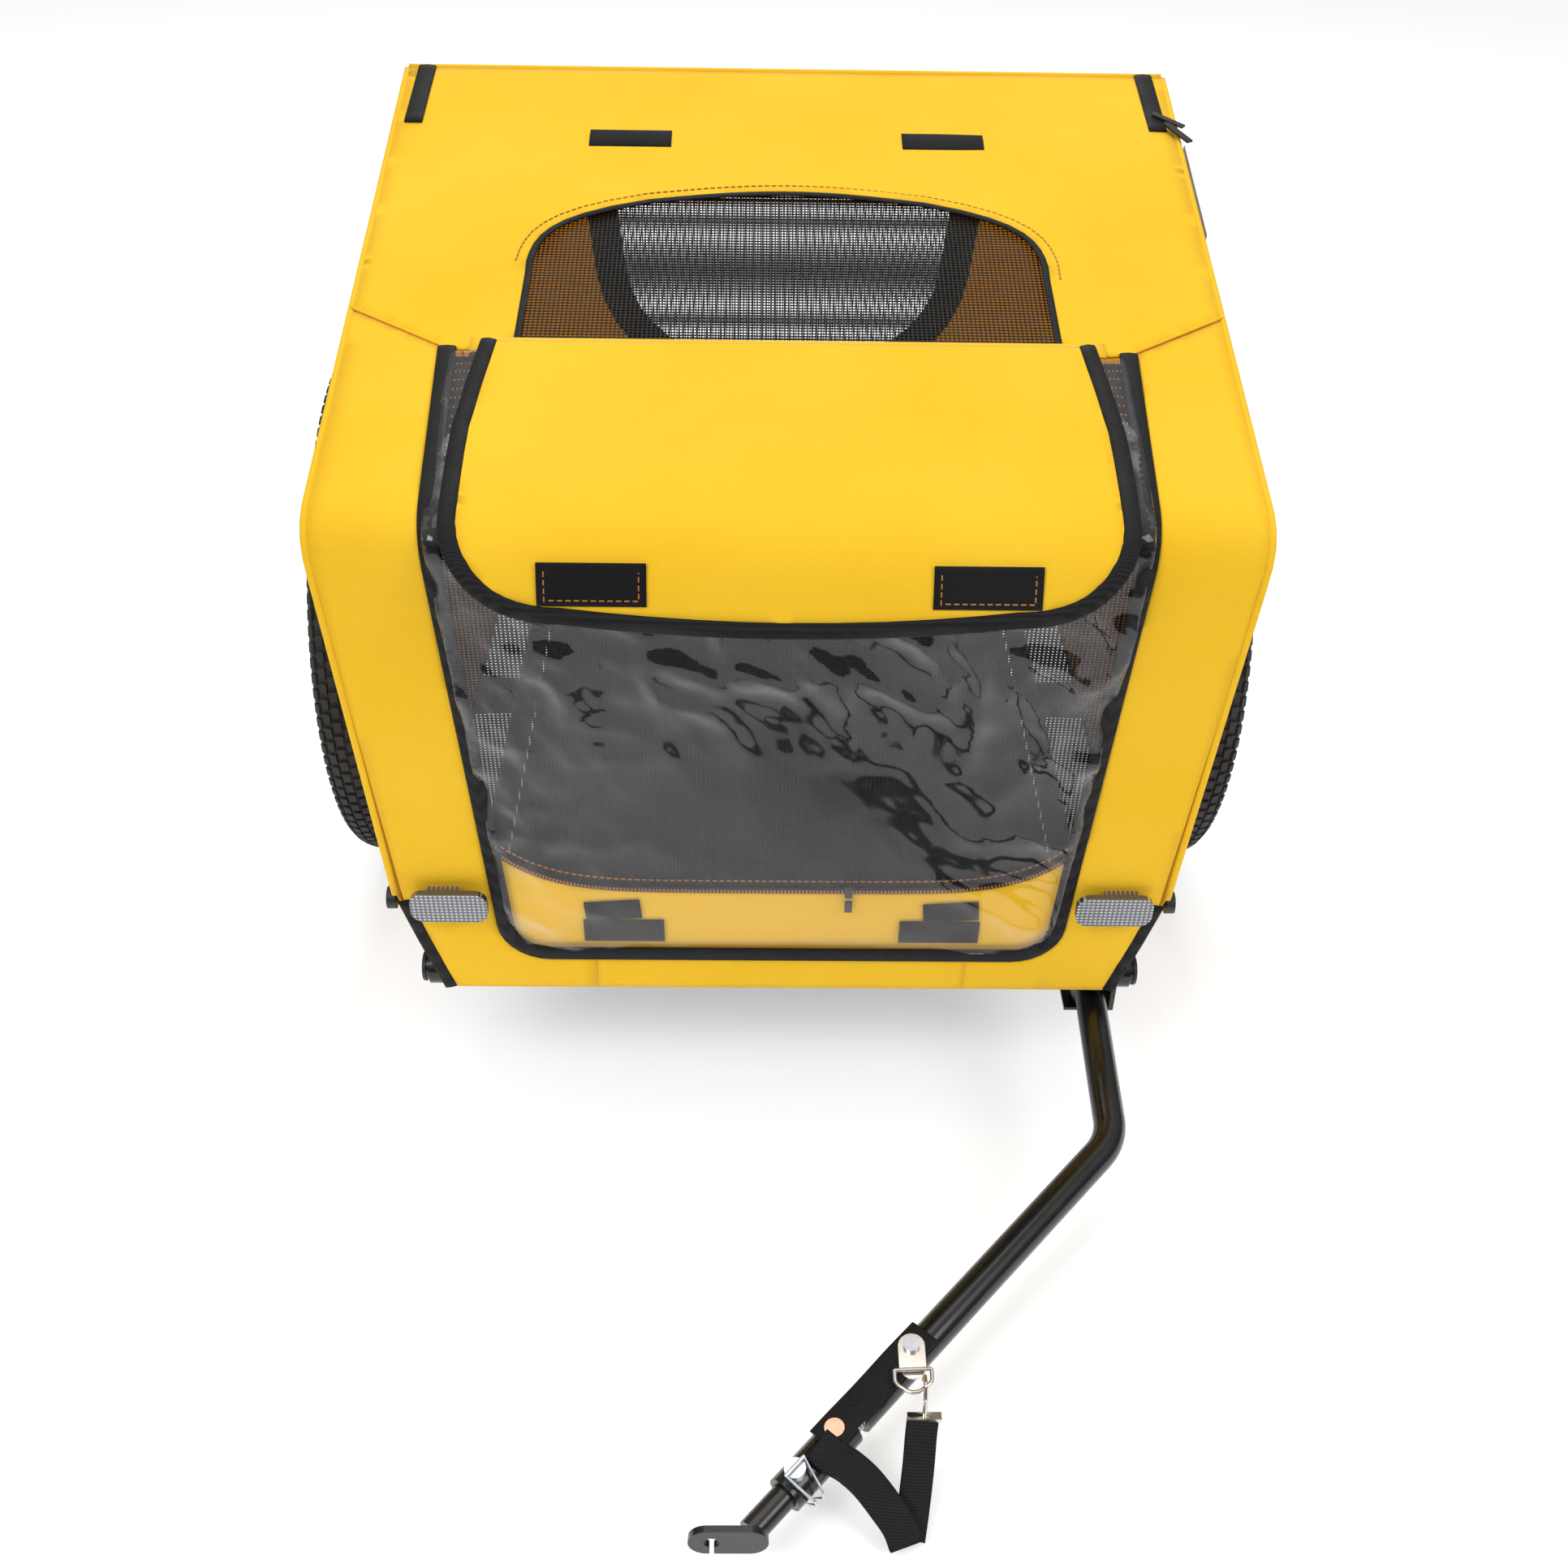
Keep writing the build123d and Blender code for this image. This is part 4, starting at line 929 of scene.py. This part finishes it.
belts = []
for x in (-0.140, -0.060, 0.060, 0.140):
    line = curve([(x, 0.335, 0.2465), (x, 0.358, 0.2475), (x, 0.3715, 0.256), (x, 0.377, 0.280), (x, 0.386, 0.340),
                  (x, 0.3975, 0.410), (x, 0.4015, 0.431)], 60)
    ways = np.gradient(line, axis=0)
    facing_out = np.stack([0 * ways[:, 0], -ways[:, 2], ways[:, 1]], 1)
    belts.append(ribbon("belt", line, facing_out, 0.025, 0.0016, BLACK_TAPE, crown=0.1))
stand_in(join("harness_webbing", belts), "harness_straps", "black_webbing", ride_seat)
clips = []
for x in (-0.100, 0.100):
    body = bars("clip", [((x, 0.323, 0.2505), (1, 0, 0), (0, 0, 1))], 0.046, 0.040, 0.010, PLASTIC)
    clips.append(modify(body, "BEVEL", width=0.004, segments=4))
    button = bars("clip", [((x, 0.323, 0.2555), (1, 0, 0), (0, 0, 1))], 0.020, 0.018, 0.004, PLASTIC)
    clips.append(modify(button, "BEVEL", width=0.0015, segments=3))
stand_in(join("harness_clips", clips), "harness_buckles", "black_plastic", ride_seat)

# ---- tyres ----


TREAD_ROWS = ((-0.0154, 0.2393, -0.80), (-0.0080, 0.2438, -0.32), (0.0, 0.2452, 0.0), (0.0080, 0.2438, 0.32),
              (0.0154, 0.2393, 0.80))     # each row's X, radius and outward lean
TREAD_BLOCKS = 108               # blocks in a row


def tyre(hand, centre):
    """A tyre with five rows of tread blocks on its crown and shoulders, turning about X."""
    half = [(0.0090, 0.2441), (0.0170, 0.2392), (0.0210, 0.2310), (0.0215, 0.2220), (0.0175, 0.2120),
            (0.0105, 0.2065)]
    section = [(-x, r) for x, r in half[::-1]] + [(0.0, 0.2454)] + half
    turns = np.linspace(0, 2 * math.pi, 144, endpoint=False)
    vertices = [(centre[0] + x, centre[1] + r * math.cos(t), centre[2] + r * math.sin(t))
                for t in turns for x, r in section]
    casing = tidy_normals(piece("casing", vertices, swept(len(turns), len(section), closed=True), RUBBER))
    places = []
    for row, (x, r, lean_out) in enumerate(TREAD_ROWS):
        for k in range(TREAD_BLOCKS):
            t = (k + 0.5 * (row % 2)) * 2 * math.pi / TREAD_BLOCKS
            radial = np.array([0, math.cos(t), math.sin(t)])
            up = radial * math.cos(lean_out) + np.array([math.sin(lean_out), 0, 0])
            places.append((np.array(centre) + radial * r + np.array([x, 0, 0]), (0, -math.sin(t), math.cos(t)), up))
    blocks = bars("blocks", places, 0.0092, 0.0066, 0.0052, RUBBER)
    made = join(f"tyre_rubber_{hand}", [casing, blocks])
    made.data.set_sharp_from_angle(angle=math.radians(40))
    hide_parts(f"tyre_{hand}")
    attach(made, f"wheel_{hand}")


for hand in ("left", "right"):
    tyre_low, tyre_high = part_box(f"tyre_{hand}")
    tyre(hand, tuple((tyre_low + tyre_high) / 2))

# ---- carried-over CAD nodes ----
finishes = {
    GLOSS_BLACK: """front_bar rear_bar side_rail_left side_rail_right front_hoop rear_hoop rear_hoop_lugs arm_tube
                    arm_bracket coupler_sleeve hitch_insert axle_bracket_left axle_bracket_right""",
    PLASTIC: "bar_caps hoop_lock_left hoop_lock_right axle_button_left axle_button_right",
    FLOOR_CLOTH: "floor_panel",
    ALUMINIUM: "rim_left rim_right",
    ZINC: """spokes_left spokes_right hub_left hub_right stub_axle_left stub_axle_right arm_pivot_bolt ring_bolt
             clevis_pin pin_bail""",
    NICKEL: "ring_bracket d_ring snap_hook",
    COPPER: "strap_rivet",
    PRISM: "front_reflectors",
}
for material, names in finishes.items():
    for name in names.split():
        nodes[name].data.materials.clear()
        nodes[name].data.materials.append(material)

# ---- stage, light and camera ----


def backdrop(name, x, y_near, y_far, z):
    """The studio floor, longer behind the trailer than in front of it."""
    return piece(name, [(-x, y_near, z), (x, y_near, z), (x, y_far, z), (-x, y_far, z)], [(0, 1, 2, 3)],
                 Shader(name, (0.9, 0.9, 0.9), 0.9, Emission_Color=(1, 1, 1, 1), Emission_Strength=0.42).material,
                 smooth=False)


backdrop("studio_floor", 3.2, -1.7, 6.0, -0.0005)
bpy.context.scene.view_settings.view_transform = "Standard"

world = bpy.data.worlds.new("studio")
bpy.context.scene.world = world
world.use_nodes = True
sky, paper = world.node_tree, world.node_tree.nodes["Background"]
place = sky.nodes.new("ShaderNodeTexCoord")
split = sky.nodes.new("ShaderNodeSeparateXYZ")
sky.links.new(place.outputs["Generated"], split.inputs[0])
ramp = sky.nodes.new("ShaderNodeValToRGB")
ramp.color_ramp.elements[0].position, ramp.color_ramp.elements[1].position = 0.05, 0.75
ramp.color_ramp.elements[0].color, ramp.color_ramp.elements[1].color = (0.10, 0.10, 0.11, 1), (1, 1, 1, 1)
sky.links.new(split.outputs["Z"], ramp.inputs["Fac"])
rays = sky.nodes.new("ShaderNodeLightPath")
pick = sky.nodes.new("ShaderNodeMix")
pick.data_type = "RGBA"
pick.inputs[7].default_value = (1.6, 1.6, 1.6, 1)
sky.links.new(rays.outputs["Is Camera Ray"], pick.inputs["Factor"])
sky.links.new(ramp.outputs["Color"], pick.inputs[6])
sky.links.new(pick.outputs[2], paper.inputs["Color"])
paper.inputs["Strength"].default_value = 0.62


def area_light(name, place, target, size, power):
    """A square soft light that faces its target."""
    data = bpy.data.lights.new(name, "AREA")
    data.size, data.energy = size, power
    made = bpy.data.objects.new(name, data)
    bpy.context.scene.collection.objects.link(made)
    made.location = place
    made.rotation_mode = "QUATERNION"
    made.rotation_quaternion = (Vector(target) - Vector(place)).to_track_quat("-Z", "Y")


area_light("key_light", (-1.5, -1.9, 2.6), (0, 0, 0.3), 1.2, 34)
area_light("fill_light", (1.9, -1.5, 2.2), (0, 0, 0.3), 1.2, 22)
area_light("top_light", (0, 0.7, 3.4), (0, 0.3, 0), 2.4, 26)
area_light("back_light", (0, 2.8, 2.0), (0, 0, 0.4), 1.5, 20)

ELEVATION, YAW, ROLL, LENS, SENSOR = math.radians(36.7), math.radians(1.1), math.radians(1.1), 40.34, 36.0
CAMERA_AT = (-0.0208, -1.1909, 1.1395)
forward = Vector((math.sin(YAW) * math.cos(ELEVATION), math.cos(YAW) * math.cos(ELEVATION), -math.sin(ELEVATION)))
level = Vector((math.cos(YAW), -math.sin(YAW), 0))
upward = level.cross(forward)
right = level * math.cos(ROLL) + upward * math.sin(ROLL)
top = upward * math.cos(ROLL) - level * math.sin(ROLL)
camera = bpy.data.objects.new("camera", bpy.data.cameras.new("camera"))
bpy.context.scene.collection.objects.link(camera)
camera.data.lens, camera.data.sensor_width = LENS, SENSOR
camera.matrix_world = Matrix([(right[k], top[k], -forward[k], CAMERA_AT[k]) for k in range(3)] + [(0, 0, 0, 1)])
bpy.context.scene.camera = camera
